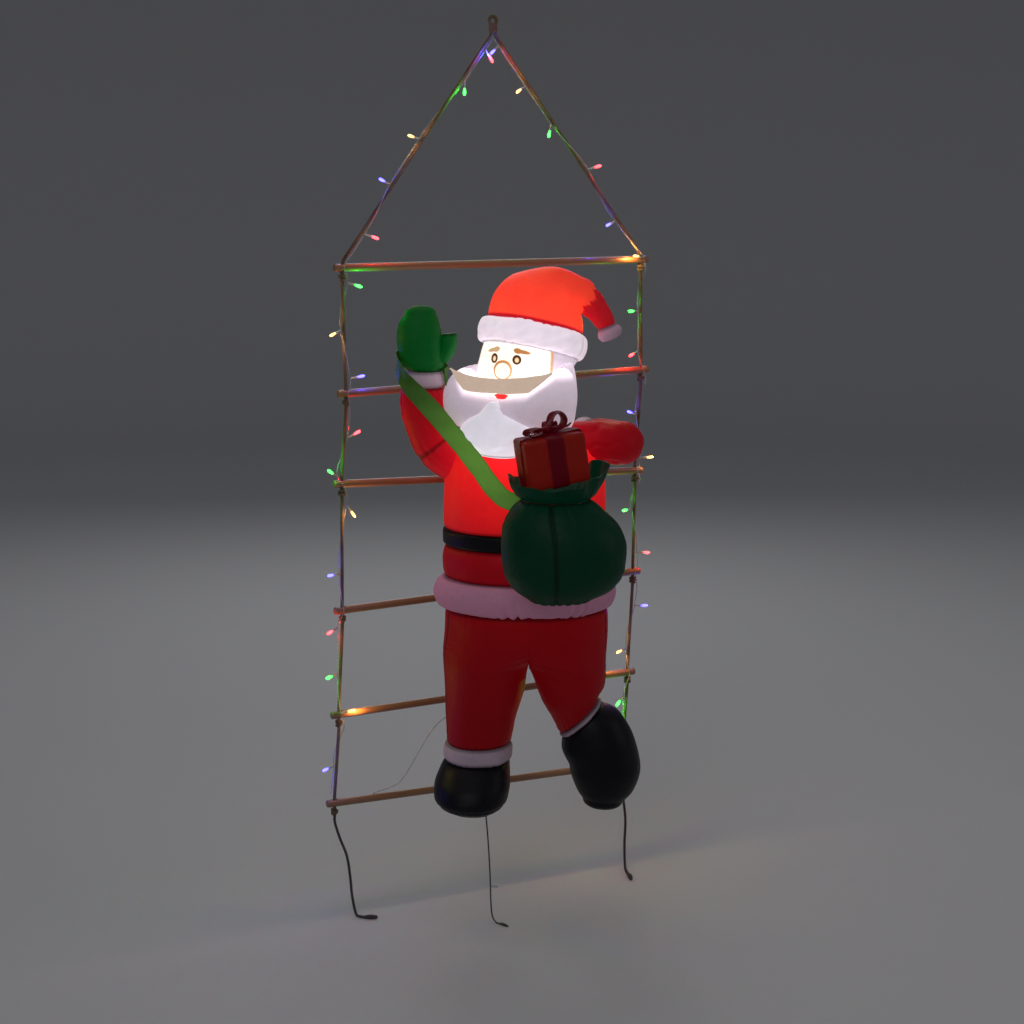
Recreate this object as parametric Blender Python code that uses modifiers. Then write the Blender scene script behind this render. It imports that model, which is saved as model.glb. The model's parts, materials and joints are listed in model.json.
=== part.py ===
"""An inflatable santa with a sack, tied to a rope ladder that hangs from a small loop.

Metres, +Z up. The origin is the inside top of the hanging loop, where a hook bears. The rungs run
along X and the figure is in front of them, on the -Y side, turned a little to face -X.
"""

import math

import bmesh
import bpy
from mathutils import Matrix, Vector

# Driving dimensions of the ladder, in metres and degrees
ROPE_DIAMETER = 0.0075
ROPE_SPAN = 0.69
LOOP_EYE = 0.009
WHIPPING_LENGTH = 0.014
RUNG_DIAMETER = 0.016
RUNG_OVERHANG = 0.017
HOLE_CLEARANCE = 0.0009
KNOT_DIAMETER = 0.0165
KNOT_LENGTH = 0.019
# Each rung as it hangs: drop below the loop, shift to the right, tilt up to the right
RUNG_HANG = (
    (0.494, 0.008, 0.0),
    (0.739, 0.012, 1.2),
    (0.941, 0.000, -1.8),
    (1.185, -0.003, 1.3),
    (1.409, -0.014, 0.7),
    (1.609, -0.027, -1.1),
)

# Driving dimensions of the light strings
WIRE_DIAMETER = 0.002
BULB_DIAMETER = 0.0062
BULB_LENGTH = 0.030
WIRE_STANDOFF = 0.0070
STANDOFF_REACH = 0.030
SHORTEST_TURN = 0.070
# Each lamp: drop of its foot below the loop, and the way it points, with 0 to the right and 90 up
LAMPS_LEFT = (
    (0.058, -65), (0.122, -100), (0.245, 165), (0.334, 157), (0.424, -20), (0.524, -18),
    (0.618, 200), (0.716, 10), (0.836, 30), (0.915, 145), (0.974, -60), (1.116, 180),
    (1.228, 200), (1.326, 190), (1.408, 12), (1.522, 190),
)
LAMPS_RIGHT = (
    (0.050, 217), (0.129, 209), (0.206, 250), (0.306, 15), (0.407, 199), (0.488, 172),
    (0.603, 180), (0.690, 200), (0.829, 160), (0.924, 3), (1.037, 180), (1.134, -5),
    (1.255, 0), (1.350, 190), (1.458, 220), (1.560, 180),
)

# Driving dimensions of the figure
FIGURE_HEIGHT = 1.132
FIGURE_TURN = -26.9
FACE_TURN = -26.0
FIGURE_X = -0.019
FIGURE_STANDOFF = 0.181
SOLE_DROP = 1.625
FLAP_THICKNESS = 0.005
CLOTH_THICKNESS = 0.0025
STRAP_WIDTH = 0.038
TIE_WIDTH = 0.025

# Driving dimensions of the present in the sack
GIFT_SIZE = (0.120, 0.086, 0.094)
GIFT_BEVEL = 0.007
GIFT_LEAN = 9.0
GIFT_TURN = 16.0
RIBBON_WIDTH = 0.032

# Driving dimensions of the lines that reach the ground
GROUND_DROP = 1.85
TETHER_DIAMETER = 0.0065
BOOT_LINE_DIAMETER = 0.0035
LEAD_DIAMETER = 0.002

# Clearance between any two pieces that touch
GAP = 0.0003

# The figure is drawn in shares of its height, from 0 just under the sole to 1132 at the crown
SHARE = FIGURE_HEIGHT / 1132

RED = ("nylon_red", (0.55, 0.012, 0.015), 0.55, 0.0)
WHITE = ("nylon_white", (0.82, 0.78, 0.80), 0.6, 0.0)
FACE = ("nylon_face", (0.95, 0.88, 0.76), 0.6, 0.0)
BLACK = ("nylon_black", (0.008, 0.008, 0.012), 0.5, 0.0)
GREEN = ("nylon_green", (0.005, 0.11, 0.03), 0.5, 0.0)
DARK_GREEN = ("nylon_dark_green", (0.003, 0.045, 0.022), 0.5, 0.0)
TAN = ("felt_tan", (0.55, 0.42, 0.32), 0.9, 0.0)
STRAP = ("strap_green", (0.03, 0.19, 0.04), 0.7, 0.0)
GIFT = ("gift_red", (0.30, 0.012, 0.008), 0.45, 0.0)
RIBBON = ("ribbon_red", (0.16, 0.004, 0.012), 0.35, 0.0)
WEBBING = ("webbing_black", (0.012, 0.012, 0.014), 0.8, 0.0)
ROPE = ("hemp_rope", (0.20, 0.13, 0.07), 0.9, 0.0)
WOOD = ("rung_wood", (0.42, 0.24, 0.12), 0.4, 0.0)
WIRE = ("clear_wire", (0.62, 0.62, 0.58), 0.25, 0.0)
TETHER = ("tether_cord", (0.06, 0.05, 0.05), 0.85, 0.0)


def start_scene():
    for obj in list(bpy.data.objects):
        bpy.data.objects.remove(obj, do_unlink=True)
    for name in ("inflatable_santa", "cutters"):
        bpy.context.scene.collection.children.link(bpy.data.collections.new(name))


def material(look):
    name, colour, roughness, metallic = look
    if name in bpy.data.materials:
        return bpy.data.materials[name]
    made = bpy.data.materials.new(name)
    made.use_nodes = True
    shader = made.node_tree.nodes["Principled BSDF"]
    shader.inputs["Base Color"].default_value = (*colour, 1)
    shader.inputs["Roughness"].default_value = roughness
    shader.inputs["Metallic"].default_value = metallic
    made.diffuse_color = (*colour, 1)
    return made


def add(name, data, look, parent=None, collection="inflatable_santa"):
    obj = bpy.data.objects.new(name, data)
    bpy.data.collections[collection].objects.link(obj)
    obj.parent = parent
    if look:
        data.materials.append(material(look))
    if collection == "cutters":
        obj.hide_render = True
        obj.display_type = "WIRE"
    return obj


def empty(name, location, turn, parent=None):
    obj = add(name, None, None, parent)
    obj.location = location
    obj.rotation_euler = (0, 0, math.radians(turn))
    return obj


def shares(*values):
    return Vector(values) * SHARE


# Lofted sections


def upright(station):
    """Centre, half width, half depth, across and back of a ring that looks up, tilt to +X, lean to +Y."""
    x, y, z, width, depth, *turns = station
    tilt, lean = [math.radians(turn) for turn in (*turns, 0, 0)[:2]]
    normal = Vector((math.sin(tilt) * math.cos(lean), math.sin(lean), math.cos(tilt) * math.cos(lean)))
    back = (Vector((0, 1, 0)) - normal * normal.y).normalized()
    return shares(x, y, z), width * SHARE, depth * SHARE, back.cross(normal), back


def level(station):
    """The same for a ring whose axis lies level, heading at an angle from +X."""
    x, y, z, width, height, heading = station
    normal = Vector((math.cos(math.radians(heading)), math.sin(math.radians(heading)), 0))
    up = Vector((0, 0, 1))
    return shares(x, y, z), width * SHARE, height * SHARE, up.cross(normal), up


def ring_points(frame, sides, power, size=1.0, shift=None):
    centre, width, depth, across, back = frame
    points = []
    for i in range(sides):
        angle = 2 * math.pi * (i + 0.5) / sides
        c, s = math.cos(angle), math.sin(angle)
        u = math.copysign(abs(c) ** (2 / power), c) * width * size
        v = math.copysign(abs(s) ** (2 / power), s) * depth * size
        points.append(centre + across * u + back * v + (shift or Vector()))
    return points


def dome_rings(frame, inner, sides, power, length):
    """Two shrinking rings beyond an end ring, which round it off."""
    outward = frame[3].cross(frame[4])
    if (frame[0] - inner[0]).dot(outward) < 0:
        outward.negate()
    return [
        ring_points(frame, sides, power, size, outward * length * SHARE * reach)
        for reach, size in ((0.6, 0.8), (1.0, 0.42))
    ]


def skin(rings):
    """A closed mesh through rings of as many points each, with flat ends."""
    bm = bmesh.new()
    rows = [[bm.verts.new(point) for point in ring] for ring in rings]
    sides = len(rows[0])
    for low, high in zip(rows, rows[1:]):
        for i in range(sides):
            bm.faces.new((low[i], low[(i + 1) % sides], high[(i + 1) % sides], high[i]))
    bm.faces.new(rows[0][::-1])
    bm.faces.new(rows[-1])
    bmesh.ops.triangulate(bm, faces=bm.faces)
    bmesh.ops.recalc_face_normals(bm, faces=bm.faces)
    mesh = bpy.data.meshes.new("section")
    bm.to_mesh(mesh)
    bm.free()
    mesh.shade_smooth()
    mesh.set_sharp_from_angle(angle=math.radians(50))
    return mesh


def loft(name, look, parent, stations, frame=upright, sides=14, power=2.0, domes=(0, 0), limit=None):
    """A section lofted through stations, in shares. limit flattens it at a plane across X."""
    frames = [frame(station) for station in stations]
    rings = [ring_points(f, sides, power) for f in frames]
    if domes[0]:
        rings = dome_rings(frames[0], frames[1], sides, power, domes[0])[::-1] + rings
    if domes[1]:
        rings += dome_rings(frames[-1], frames[-2], sides, power, domes[1])
    if limit:
        plane, keep = limit
        for ring in rings:
            for point in ring:
                point.x = keep(point.x, plane)
    return add(name, skin(rings), look, parent)


def cut_clear(piece, *neighbours, clearance=0.0005):
    """Cuts each neighbour out of the piece, with a small clearance."""
    for other in neighbours:
        cutter = other.copy()
        cutter.name = f"cut_{piece.name}_{other.name}"
        cutter.modifiers.clear()
        grow = cutter.modifiers.new("grow", "DISPLACE")
        grow.mid_level = 0
        grow.strength = clearance
        bpy.data.collections["cutters"].objects.link(cutter)
        cutter.hide_render = True
        cutter.display_type = "WIRE"
        cut = piece.modifiers.new(f"clear_{other.name}", "BOOLEAN")
        cut.operation = "DIFFERENCE"
        cut.object = cutter


def join(piece, *others):
    for other in others:
        union = piece.modifiers.new(f"join_{other.name}", "BOOLEAN")
        union.operation = "UNION"
        union.object = other


def as_cutter(piece):
    bpy.data.collections["inflatable_santa"].objects.unlink(piece)
    bpy.data.collections["cutters"].objects.link(piece)
    piece.hide_render = True
    piece.display_type = "WIRE"
    return piece


def smooth_route(points, count):
    """Points spaced evenly along a Catmull-Rom curve through the given ones."""
    route = [Vector(p) for p in points]
    ends = [2 * route[0] - route[1], *route, 2 * route[-1] - route[-2]]
    fine = []
    for p0, p1, p2, p3 in zip(ends, ends[1:], ends[2:], ends[3:]):
        for i in range(16):
            t = i / 16
            fine.append(
                0.5 * (2 * p1 + (p2 - p0) * t + (2 * p0 - 5 * p1 + 4 * p2 - p3) * t**2
                       + (3 * p1 - p0 - 3 * p2 + p3) * t**3)
            )
    fine.append(route[-1])
    lengths = [0.0]
    for a, b in zip(fine, fine[1:]):
        lengths.append(lengths[-1] + (b - a).length)
    picked = []
    for i in range(count):
        want = lengths[-1] * i / (count - 1)
        n = next((k for k in range(1, len(fine)) if lengths[k] >= want - 1e-9), len(fine) - 1)
        share = (want - lengths[n - 1]) / max(lengths[n] - lengths[n - 1], 1e-9)
        picked.append(fine[n - 1].lerp(fine[n], share))
    return picked


def tube(name, look, points, diameter, sides=8, radii=None, closed=False, parent=None):
    """A round curve object along the points. radii swell it, as shares of its own radius."""
    curve = bpy.data.curves.new(name, "CURVE")
    curve.dimensions = "3D"
    curve.bevel_depth = diameter / 2
    curve.bevel_resolution = sides // 2 - 2
    curve.use_fill_caps = not closed
    spline = curve.splines.new("POLY")
    spline.points.add(len(points) - 1)
    for i, point in enumerate(points):
        spline.points[i].co = (*point, 1)
        spline.points[i].radius = radii[i] if radii else 1
    spline.use_cyclic_u = closed
    return add(name, curve, look, parent)


def as_mesh(obj):
    """The curve object made a mesh with its caps welded, so that it can be cut or joined."""
    bpy.context.view_layer.update()
    graph = bpy.context.evaluated_depsgraph_get()
    mesh = bpy.data.meshes.new_from_object(obj.evaluated_get(graph))
    bm = bmesh.new()
    bm.from_mesh(mesh)
    bmesh.ops.remove_doubles(bm, verts=bm.verts, dist=1e-6)
    bmesh.ops.recalc_face_normals(bm, faces=bm.faces)
    bm.to_mesh(mesh)
    bm.free()
    name, world, parent = obj.name, obj.matrix_world.copy(), obj.parent
    bpy.data.objects.remove(obj, do_unlink=True)
    made = add(name, mesh, None, parent)
    made.matrix_world = world
    return made


def band(name, look, parent, points, outward, width, thickness):
    """A flat strip along the points. outward(i, point) is the way its face looks."""
    rings = []
    for i, point in enumerate(points):
        before, after = points[max(i - 1, 0)], points[min(i + 1, len(points) - 1)]
        along = (after - before).normalized()
        face = outward(i, point)
        face = (face - along * face.dot(along)).normalized()
        side = along.cross(face) * width / 2
        half = face * thickness / 2
        rings.append([point - side - half, point + side - half, point + side + half, point - side + half])
    return add(name, skin(rings), look, parent)


# Ladder


def rung_end(drop, shift, tilt, side):
    """Where the middle of a side rope passes through the middle of a rung."""
    reach = side * ROPE_SPAN / 2
    rise = reach * math.sin(math.radians(tilt))
    return Vector((shift + reach * math.cos(math.radians(tilt)), 0, -drop + rise))


def cylinder(name, diameter, length, matrix, sides=16, look=None, collection="inflatable_santa"):
    bm = bmesh.new()
    bmesh.ops.create_cone(
        bm, cap_ends=True, segments=sides, radius1=diameter / 2, radius2=diameter / 2, depth=length
    )
    mesh = bpy.data.meshes.new(name)
    bm.to_mesh(mesh)
    bm.free()
    mesh.shade_smooth()
    mesh.set_sharp_from_angle(angle=math.radians(40))
    obj = add(name, mesh, look, None, collection)
    obj.matrix_world = matrix
    return obj


def make_rung(number, drop, shift, tilt):
    place = Matrix.Translation((shift, 0, -drop)) @ Matrix.Rotation(math.radians(-tilt), 4, "Y")
    along_x = Matrix.Rotation(math.pi / 2, 4, "Y")
    length = ROPE_SPAN + 2 * RUNG_OVERHANG
    rung = cylinder(f"rung_{number}", RUNG_DIAMETER, length, place @ along_x, look=WOOD)
    for side in (-1, 1):
        hole = cylinder(
            f"hole_{number}_{side}", ROPE_DIAMETER + 2 * HOLE_CLEARANCE, 2 * RUNG_DIAMETER,
            Matrix.Translation(rung_end(drop, shift, tilt, side)), 8, None, "cutters",
        )
        cut = rung.modifiers.new(f"hole_{side}", "BOOLEAN")
        cut.operation = "DIFFERENCE"
        cut.object = hole


def whipping_bottom():
    return -LOOP_EYE - ROPE_DIAMETER / 2 - WHIPPING_LENGTH


def make_loop():
    """The loop with the whipping below it that binds both side ropes."""
    radius = (LOOP_EYE + ROPE_DIAMETER) / 2
    middle = -LOOP_EYE / 2
    turns = [2 * math.pi * i / 14 for i in range(14)]
    points = [Vector((radius * math.sin(t), 0, middle + radius * math.cos(t))) for t in turns]
    loop = as_mesh(tube("hanging_loop", ROPE, points, ROPE_DIAMETER, closed=True))
    loop.data.materials.append(material(ROPE))
    bottom = whipping_bottom()
    whipping = cylinder(
        "whipping", 2.4 * ROPE_DIAMETER, WHIPPING_LENGTH,
        Matrix.Translation((0, 0, bottom + WHIPPING_LENGTH / 2)), 12, None, "cutters",
    )
    join(loop, whipping)


def rope_start(side):
    return Vector((side * (ROPE_DIAMETER / 2 + 0.0006), 0, whipping_bottom() - GAP))


def make_side_rope(name, side):
    start = rope_start(side)
    points = [start, start + Vector((0, 0, -0.006))]
    radii = [1, 1]
    half_rung = RUNG_DIAMETER / 2
    swell = KNOT_DIAMETER / ROPE_DIAMETER
    for hang in RUNG_HANG:
        hole = rung_end(*hang, side)
        knot_top = half_rung + 2 * GAP
        for below, radius in (
            (-half_rung - 0.003, 1),
            (knot_top, 1),
            (knot_top + 0.25 * KNOT_LENGTH, 0.93 * swell),
            (knot_top + 0.70 * KNOT_LENGTH, swell),
            (knot_top + KNOT_LENGTH, 1),
        ):
            points.append(hole + Vector((0, 0, -below)))
            radii.append(radius)
    return tube(name, ROPE, points, ROPE_DIAMETER, radii=radii)


def rope_at(side, drop):
    """The middle of a side rope at a drop below the loop."""
    spots = [rope_start(side), rope_start(side) + Vector((0, 0, -0.006))]
    for hang in RUNG_HANG:
        hole = rung_end(*hang, side)
        spots.append(hole + Vector((0, 0, RUNG_DIAMETER / 2 + 0.003)))
        spots.append(hole - Vector((0, 0, RUNG_DIAMETER / 2 + 2 * GAP + KNOT_LENGTH)))
    for high, low in zip(spots, spots[1:]):
        if -drop >= low.z or low is spots[-1]:
            return high.lerp(low, min(max((high.z + drop) / (high.z - low.z), 0), 1))


def across_rope(side, drop):
    """Square to the rope and to the view from the front, to the right."""
    along = rope_at(side, drop + 0.012) - rope_at(side, drop - 0.012)
    return along.normalized().cross(Vector((0, 1, 0)))


def wire_at(side, drop, angle):
    """A point of the wire beside the rope: 0 is to the right, -90 in front. It clears rungs and knots."""
    past = [drop + rung_end(*hang, side).z for hang in RUNG_HANG]
    near = min(max(-0.012 - p, p - RUNG_DIAMETER / 2 - KNOT_LENGTH - 0.004, 0) for p in past)
    past_rung = RUNG_DIAMETER / 2 + WIRE_DIAMETER + 0.001
    bulge = math.exp(-((near / STANDOFF_REACH) ** 2))
    reach = WIRE_STANDOFF + (past_rung - WIRE_STANDOFF) * bulge
    turn = math.radians(angle)
    beside = across_rope(side, drop) * math.cos(turn) + Vector((0, math.sin(turn), 0))
    return rope_at(side, drop) + beside * reach


def wire_turns(side, lamps):
    """Drops and angles that the wire passes through: in front of each rung, and beside each lamp."""
    rungs = [-rung_end(*hang, side).z for hang in RUNG_HANG]
    stops = []
    for drop, pointing in lamps:
        turn = math.radians(pointing)
        right = across_rope(side, drop).dot(Vector((math.cos(turn), 0, math.sin(turn)))) > 0
        beside = -12 if right else -168
        on_rung = min(abs(drop - rung) for rung in rungs) < RUNG_DIAMETER * 0.9
        stops.append((drop, -90 if on_rung else beside))
    lamp_drops = [drop for drop, _ in lamps]
    stops += [(rung, -90) for rung in rungs[:-1] if min(abs(rung - d) for d in lamp_drops) > 0.009]
    stops.sort()
    wound = [stops[0]]
    for drop, angle in stops[1:]:
        before, last = wound[-1]
        step = (angle - last) % 360
        if step > 180 and drop - before < SHORTEST_TURN:
            step -= 360
        wound.append((drop, last + step))
    return wound


def make_bulb(name, foot, angle):
    """A lamp in its holder, from its foot on the wire, leaning a little to the front."""
    direction = Vector((math.cos(math.radians(angle)), -0.3, math.sin(math.radians(angle)))).normalized()
    across = direction.orthogonal().normalized()
    back = direction.cross(across)
    rings = []
    for reach, size in ((0, 0.5), (0.5, 0.62), (0.8, 1.0), (1.0, 0.5)):
        centre = foot + direction * BULB_LENGTH * reach
        frame = (centre, BULB_DIAMETER / 2, BULB_DIAMETER / 2, across, back)
        rings.append(ring_points(frame, 5, 2.0, size))
    return add(name, skin(rings), None, None, "cutters")


def wire_route(side, wound):
    """Points along the wire, close enough together to stay clear of the rope."""
    first, last = -rope_start(side).z + 0.010, -rung_end(*RUNG_HANG[-1], side).z - 0.020
    stops = [(first, wound[0][1]), *wound, (last, wound[-1][1])]
    points = []
    for (drop, angle), (next_drop, next_angle) in zip(stops, stops[1:]):
        steps = max(math.ceil(abs(next_angle - angle) / 50), math.ceil((next_drop - drop) / 0.045))
        for i in range(steps):
            share = i / steps
            points.append(
                wire_at(side, drop + (next_drop - drop) * share, angle + (next_angle - angle) * share)
            )
    points.append(wire_at(side, last, wound[-1][1]))
    return points


def make_light_string(name, side, lamps):
    """The clear wire with its lamps, one piece."""
    wound = wire_turns(side, lamps)
    string = as_mesh(tube(name, WIRE, wire_route(side, wound), WIRE_DIAMETER, sides=4))
    string.data.materials.append(material(WIRE))
    bulbs = bpy.data.collections.new(f"{name}_bulbs")
    bpy.data.collections["cutters"].children.link(bulbs)
    for i, (drop, angle) in enumerate(lamps):
        beside = next(turn for stop, turn in wound if stop == drop)
        bulb = make_bulb(f"{name}_bulb_{i + 1}", wire_at(side, drop, beside), angle)
        bulbs.objects.link(bulb)
        bpy.data.collections["cutters"].objects.unlink(bulb)
    union = string.modifiers.new("bulbs", "BOOLEAN")
    union.operation = "UNION"
    union.operand_type = "COLLECTION"
    union.collection = bulbs


# Figure, body and legs

# Heights of the seams, in shares of the figure's height above the sole
NECK, BELT_TOP, BELT_BOTTOM, HEM_TOP, HEM_BOTTOM = 825, 611, 576, 511, 443
CUFF_TOP, CUFF_BOTTOM = 157, 120
SOLE = 22
SEAM_X = 8
SEAM_GAP = GAP / SHARE


def make_body(figure):
    jacket = loft("jacket", RED, figure, (
        (0, 0, BELT_TOP + SEAM_GAP, 164, 130),
        (0, 0, 664, 164, 130),
        (0, 0, 707, 163, 126),
        (0, 0, 745, 156, 118),
        (0, 0, 785, 134, 103),
        (0, 0, 810, 104, 84),
        (0, 0, NECK, 72, 62),
    ), sides=18)
    loft("belt", BLACK, figure, (
        (0, 0, BELT_BOTTOM + SEAM_GAP, 164, 130),
        (0, 0, BELT_BOTTOM + 5, 166, 132),
        (0, 0, BELT_TOP - 5, 166, 132),
        (0, 0, BELT_TOP, 164, 130),
    ), sides=18)
    loft("jacket_skirt", RED, figure, (
        (0, 0, HEM_TOP + SEAM_GAP, 166, 133),
        (0, 0, 545, 167, 134),
        (0, 0, BELT_BOTTOM, 164, 130),
    ), sides=18)
    hem = loft("jacket_hem", WHITE, figure, (
        (0, 0, HEM_BOTTOM + SEAM_GAP, 166, 130),
        (0, 0, HEM_BOTTOM + 12, 181, 146),
        (0, 0, 478, 187, 152),
        (0, 0, HEM_TOP - 12, 180, 146),
        (0, 0, HEM_TOP, 166, 133),
    ), sides=18)
    return jacket, hem


def make_standing_leg(figure):
    plane = (SEAM_X - SEAM_GAP / 2) * SHARE
    leg = loft("trouser_leg_standing", RED, figure, (
        (SEAM_X, 0, HEM_BOTTOM, 173, 128),
        (-5, 0, 400, 160, 122),
        (-50, 0, 354, 116, 112),
        (-78, 0, 326, 87, 105),
        (-83, 0, 270, 81, 94),
        (-90, 0, 215, 74, 84),
        (-96, 0, CUFF_TOP + SEAM_GAP, 68, 74),
    ), limit=(plane, min))
    loft("trouser_cuff_standing", WHITE, figure, (
        (-97, 0, CUFF_BOTTOM + SEAM_GAP, 68, 74),
        (-97, 0, CUFF_BOTTOM + 10, 70, 76),
        (-97, 0, CUFF_TOP - 8, 70, 76),
        (-97, 0, CUFF_TOP, 68, 74),
    ))
    loft("boot_standing", BLACK, figure, (
        (-99, 0, CUFF_BOTTOM, 68, 74),
        (-104, -8, 100, 73, 84),
        (-109, -18, 72, 78, 96),
        (-111, -24, 50, 76, 98),
        (-110, -26, 34, 66, 88),
        (-108, -26, SOLE, 46, 68),
    ), sides=16, power=2.3)
    return leg


def make_raised_leg(figure):
    plane = (SEAM_X + SEAM_GAP / 2) * SHARE
    leg = loft("trouser_leg_raised", RED, figure, (
        (SEAM_X, 0, HEM_BOTTOM, 161, 128),
        (20, 0, 400, 149, 122),
        (62, -4, 354, 106, 112),
        (88, -9, 326, 80, 105, -3),
        (101, -12, 270, 69, 92, -16),
        (108, -6, 238, 58, 76, -32),
        (111, 0, 213, 53, 62, -42),
    ), limit=(plane, max))
    loft("trouser_cuff_raised", WHITE, figure, (
        (111.3, 0, 212.6, 54, 63, -42),
        (115, 1, 208, 56, 65, -42),
        (119, 2, 203.4, 55, 63, -42),
    ))
    loft("boot_raised", BLACK, figure, (
        (119.3, 2, 203, 56, 62, -42),
        (138, 6, 178, 71, 74, -32),
        (157, 6, 142, 75, 79, -14),
        (167, 4, 100, 74, 78, 0),
        (166, 2, 60, 62, 65, 3),
        (163, 0, 32, 42, 45, 4),
    ), sides=16, power=2.15, domes=(0, 19))
    return leg


# Figure, arms


def make_waving_arm(figure, jacket):
    wrist = 895
    sleeve = loft("sleeve_waving", RED, figure, (
        (-92, 0, 742, 44, 46, -90),
        (-133, -2, 747, 46, 46, -74),
        (-170, -5, 770, 47, 46, -46),
        (-191, -8, 810, 47, 46, -20),
        (-204, -10, 858, 46, 45, -8),
        (-208, -10, wrist, 43, 43, 0),
    ))
    cut_clear(sleeve, jacket)
    cuff = loft("cuff_waving", WHITE, figure, (
        (-201, -10, wrist + SEAM_GAP, 36, 38),
        (-200, -10, wrist + 14, 38, 41),
        (-200, -10, wrist + 33, 36, 38),
    ), sides=12)
    mitten = loft("mitten_waving", GREEN, figure, (
        (-200, -10, wrist + 33 + SEAM_GAP, 36, 37),
        (-206, -10, 952, 43, 36),
        (-210, -10, 986, 46, 34),
        (-211, -10, 1018, 42, 30),
        (-209, -10, 1042, 31, 23),
    ), sides=12, domes=(0, 17))
    thumb = as_cutter(loft("thumb_waving", None, figure, (
        (-190, -10, 950, 14, 16, 70),
        (-165, -10, 957, 16, 18, 50),
        (-153, -11, 976, 17, 19, 12),
        (-151, -12, 1003, 16, 17, -4),
    ), sides=8))
    join(mitten, thumb)
    return sleeve, cuff, mitten


def make_bent_arm(figure, jacket):
    sleeve = loft("sleeve_bent", RED, figure, (
        (80, -5, 781, 44, 44, 0),
        (135, -8, 781, 45, 45, 0),
        (176, 0, 780, 45, 45, 18),
        (198, 27, 778, 44, 44, 68),
        (187, 62, 778, 42, 42, 124),
        (160, 91, 779, 40, 40, 142),
        (135, 108, 780, 37, 36, 148),
    ), frame=level)
    cut_clear(sleeve, jacket)
    loft("cuff_bent", WHITE, figure, (
        (134.7, 108.2, 780, 36, 35, 148),
        (122, 116, 780, 38, 37, 148),
        (109, 124, 780, 36, 35, 148),
    ), frame=level, sides=12)
    loft("mitten_bent", GREEN, figure, (
        (108.7, 124.2, 780, 35, 35, 148),
        (84, 141, 781, 33, 41, 146),
        (56, 160, 783, 30, 43, 146),
        (34, 176, 785, 24, 34, 146),
    ), frame=level, sides=12, domes=(0, 16))


# Figure, head

# The brim of the hat: its middle, its tilt to the right and its lean to the back
BRIM = (15, 2, 990)
BRIM_TURNS = (11.5, 11.5)
BRIM_HALF = 27


def brim_station(reach, width):
    """A ring of the hat's brim at a reach above its middle."""
    tilt, lean = [math.radians(turn) for turn in BRIM_TURNS]
    up = (math.sin(tilt) * math.cos(lean), math.sin(lean), math.cos(tilt) * math.cos(lean))
    middle = [m + u * reach for m, u in zip(BRIM, up)]
    return (*middle, width, width, *BRIM_TURNS)


def make_head(figure):
    head = loft("head", FACE, figure, (
        (0, 0, NECK + SEAM_GAP, 72, 62),
        (0, 0, 850, 88, 88),
        (0, 0, 882, 96, 98),
        (0, 0, 930, 97, 99),
        brim_station(-BRIM_HALF - SEAM_GAP, 95),
    ), sides=18)
    brim = loft("hat_brim", WHITE, figure, (
        brim_station(-BRIM_HALF, 96),
        brim_station(-0.7 * BRIM_HALF, 106),
        brim_station(0, 110),
        brim_station(0.7 * BRIM_HALF, 107),
        brim_station(BRIM_HALF, 98),
    ), sides=18)
    loft("hat", RED, figure, (
        brim_station(BRIM_HALF + SEAM_GAP, 98),
        (25, 10, 1055, 91, 92, 15, 8),
        (42, 12, 1087, 69, 74, 30, 5),
        (75, 12, 1092, 48, 53, 62, 2),
        (108, 10, 1079, 35, 38, 100, 0),
        (134, 6, 1058, 27, 29, 131, 0),
        (153, 3, 1036, 22, 24, 149, 0),
        (163, 1, 1017, 20, 21, 158, 0),
    ), sides=16)
    loft("hat_tip", WHITE, figure, (
        (163.2, 1, 1016.5, 20, 20, 158, 0),
        (169, 0, 1003, 25, 24, 156, 0),
        (172, 0, 996, 22, 21, 156, 0),
    ), sides=10, domes=(0, 5))
    return head, brim


def beard_station(turn, radius, height, thickness, tall):
    """A ring of the beard at a turn round the head from the middle of the face."""
    x = radius * math.sin(math.radians(turn))
    y = -radius * math.cos(math.radians(turn))
    return (x, y, height, thickness, tall, turn)


def make_face(face, head, brim, jacket):
    beard = loft("beard", WHITE, face, [
        beard_station(*row) for row in (
            (-112, 98, 912, 10, 20),
            (-88, 108, 884, 28, 50),
            (-64, 117, 874, 46, 58),
            (-42, 121, 868, 48, 52),
            (-20, 121, 860, 42, 34),
            (0, 116, 858, 36, 22),
            (20, 121, 860, 42, 34),
            (42, 121, 870, 48, 54),
            (64, 114, 878, 41, 64),
            (88, 98, 886, 17, 66),
            (112, 92, 908, 9, 26),
        )
    ], frame=level, sides=12)
    cut_clear(beard, head, brim, jacket)
    point = loft("beard_point", WHITE, face, (
        (0, -128, 772, 44, 22),
        (0, -129, 790, 66, 34),
        (0, -128, 812, 84, 40),
        (0, -130, 838, 66, 38),
        (0, -134, 860, 32, 27),
        (0, -138, 878, 10, 14),
    ), sides=12)
    cut_clear(point, beard, head, jacket)
    bm = bmesh.new()
    bmesh.ops.create_uvsphere(bm, u_segments=12, v_segments=8, radius=1)
    bmesh.ops.scale(bm, vec=shares(18, 21, 19.5), verts=bm.verts)
    mesh = bpy.data.meshes.new("nose")
    bm.to_mesh(mesh)
    bm.free()
    mesh.shade_smooth()
    nose = add("nose", mesh, FACE, face)
    nose.location = shares(0, -99, 938)
    cut_clear(nose, head)
    moustache = make_moustache(face)
    cut_clear(moustache, nose, head, beard, point)
    return beard, point


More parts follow.
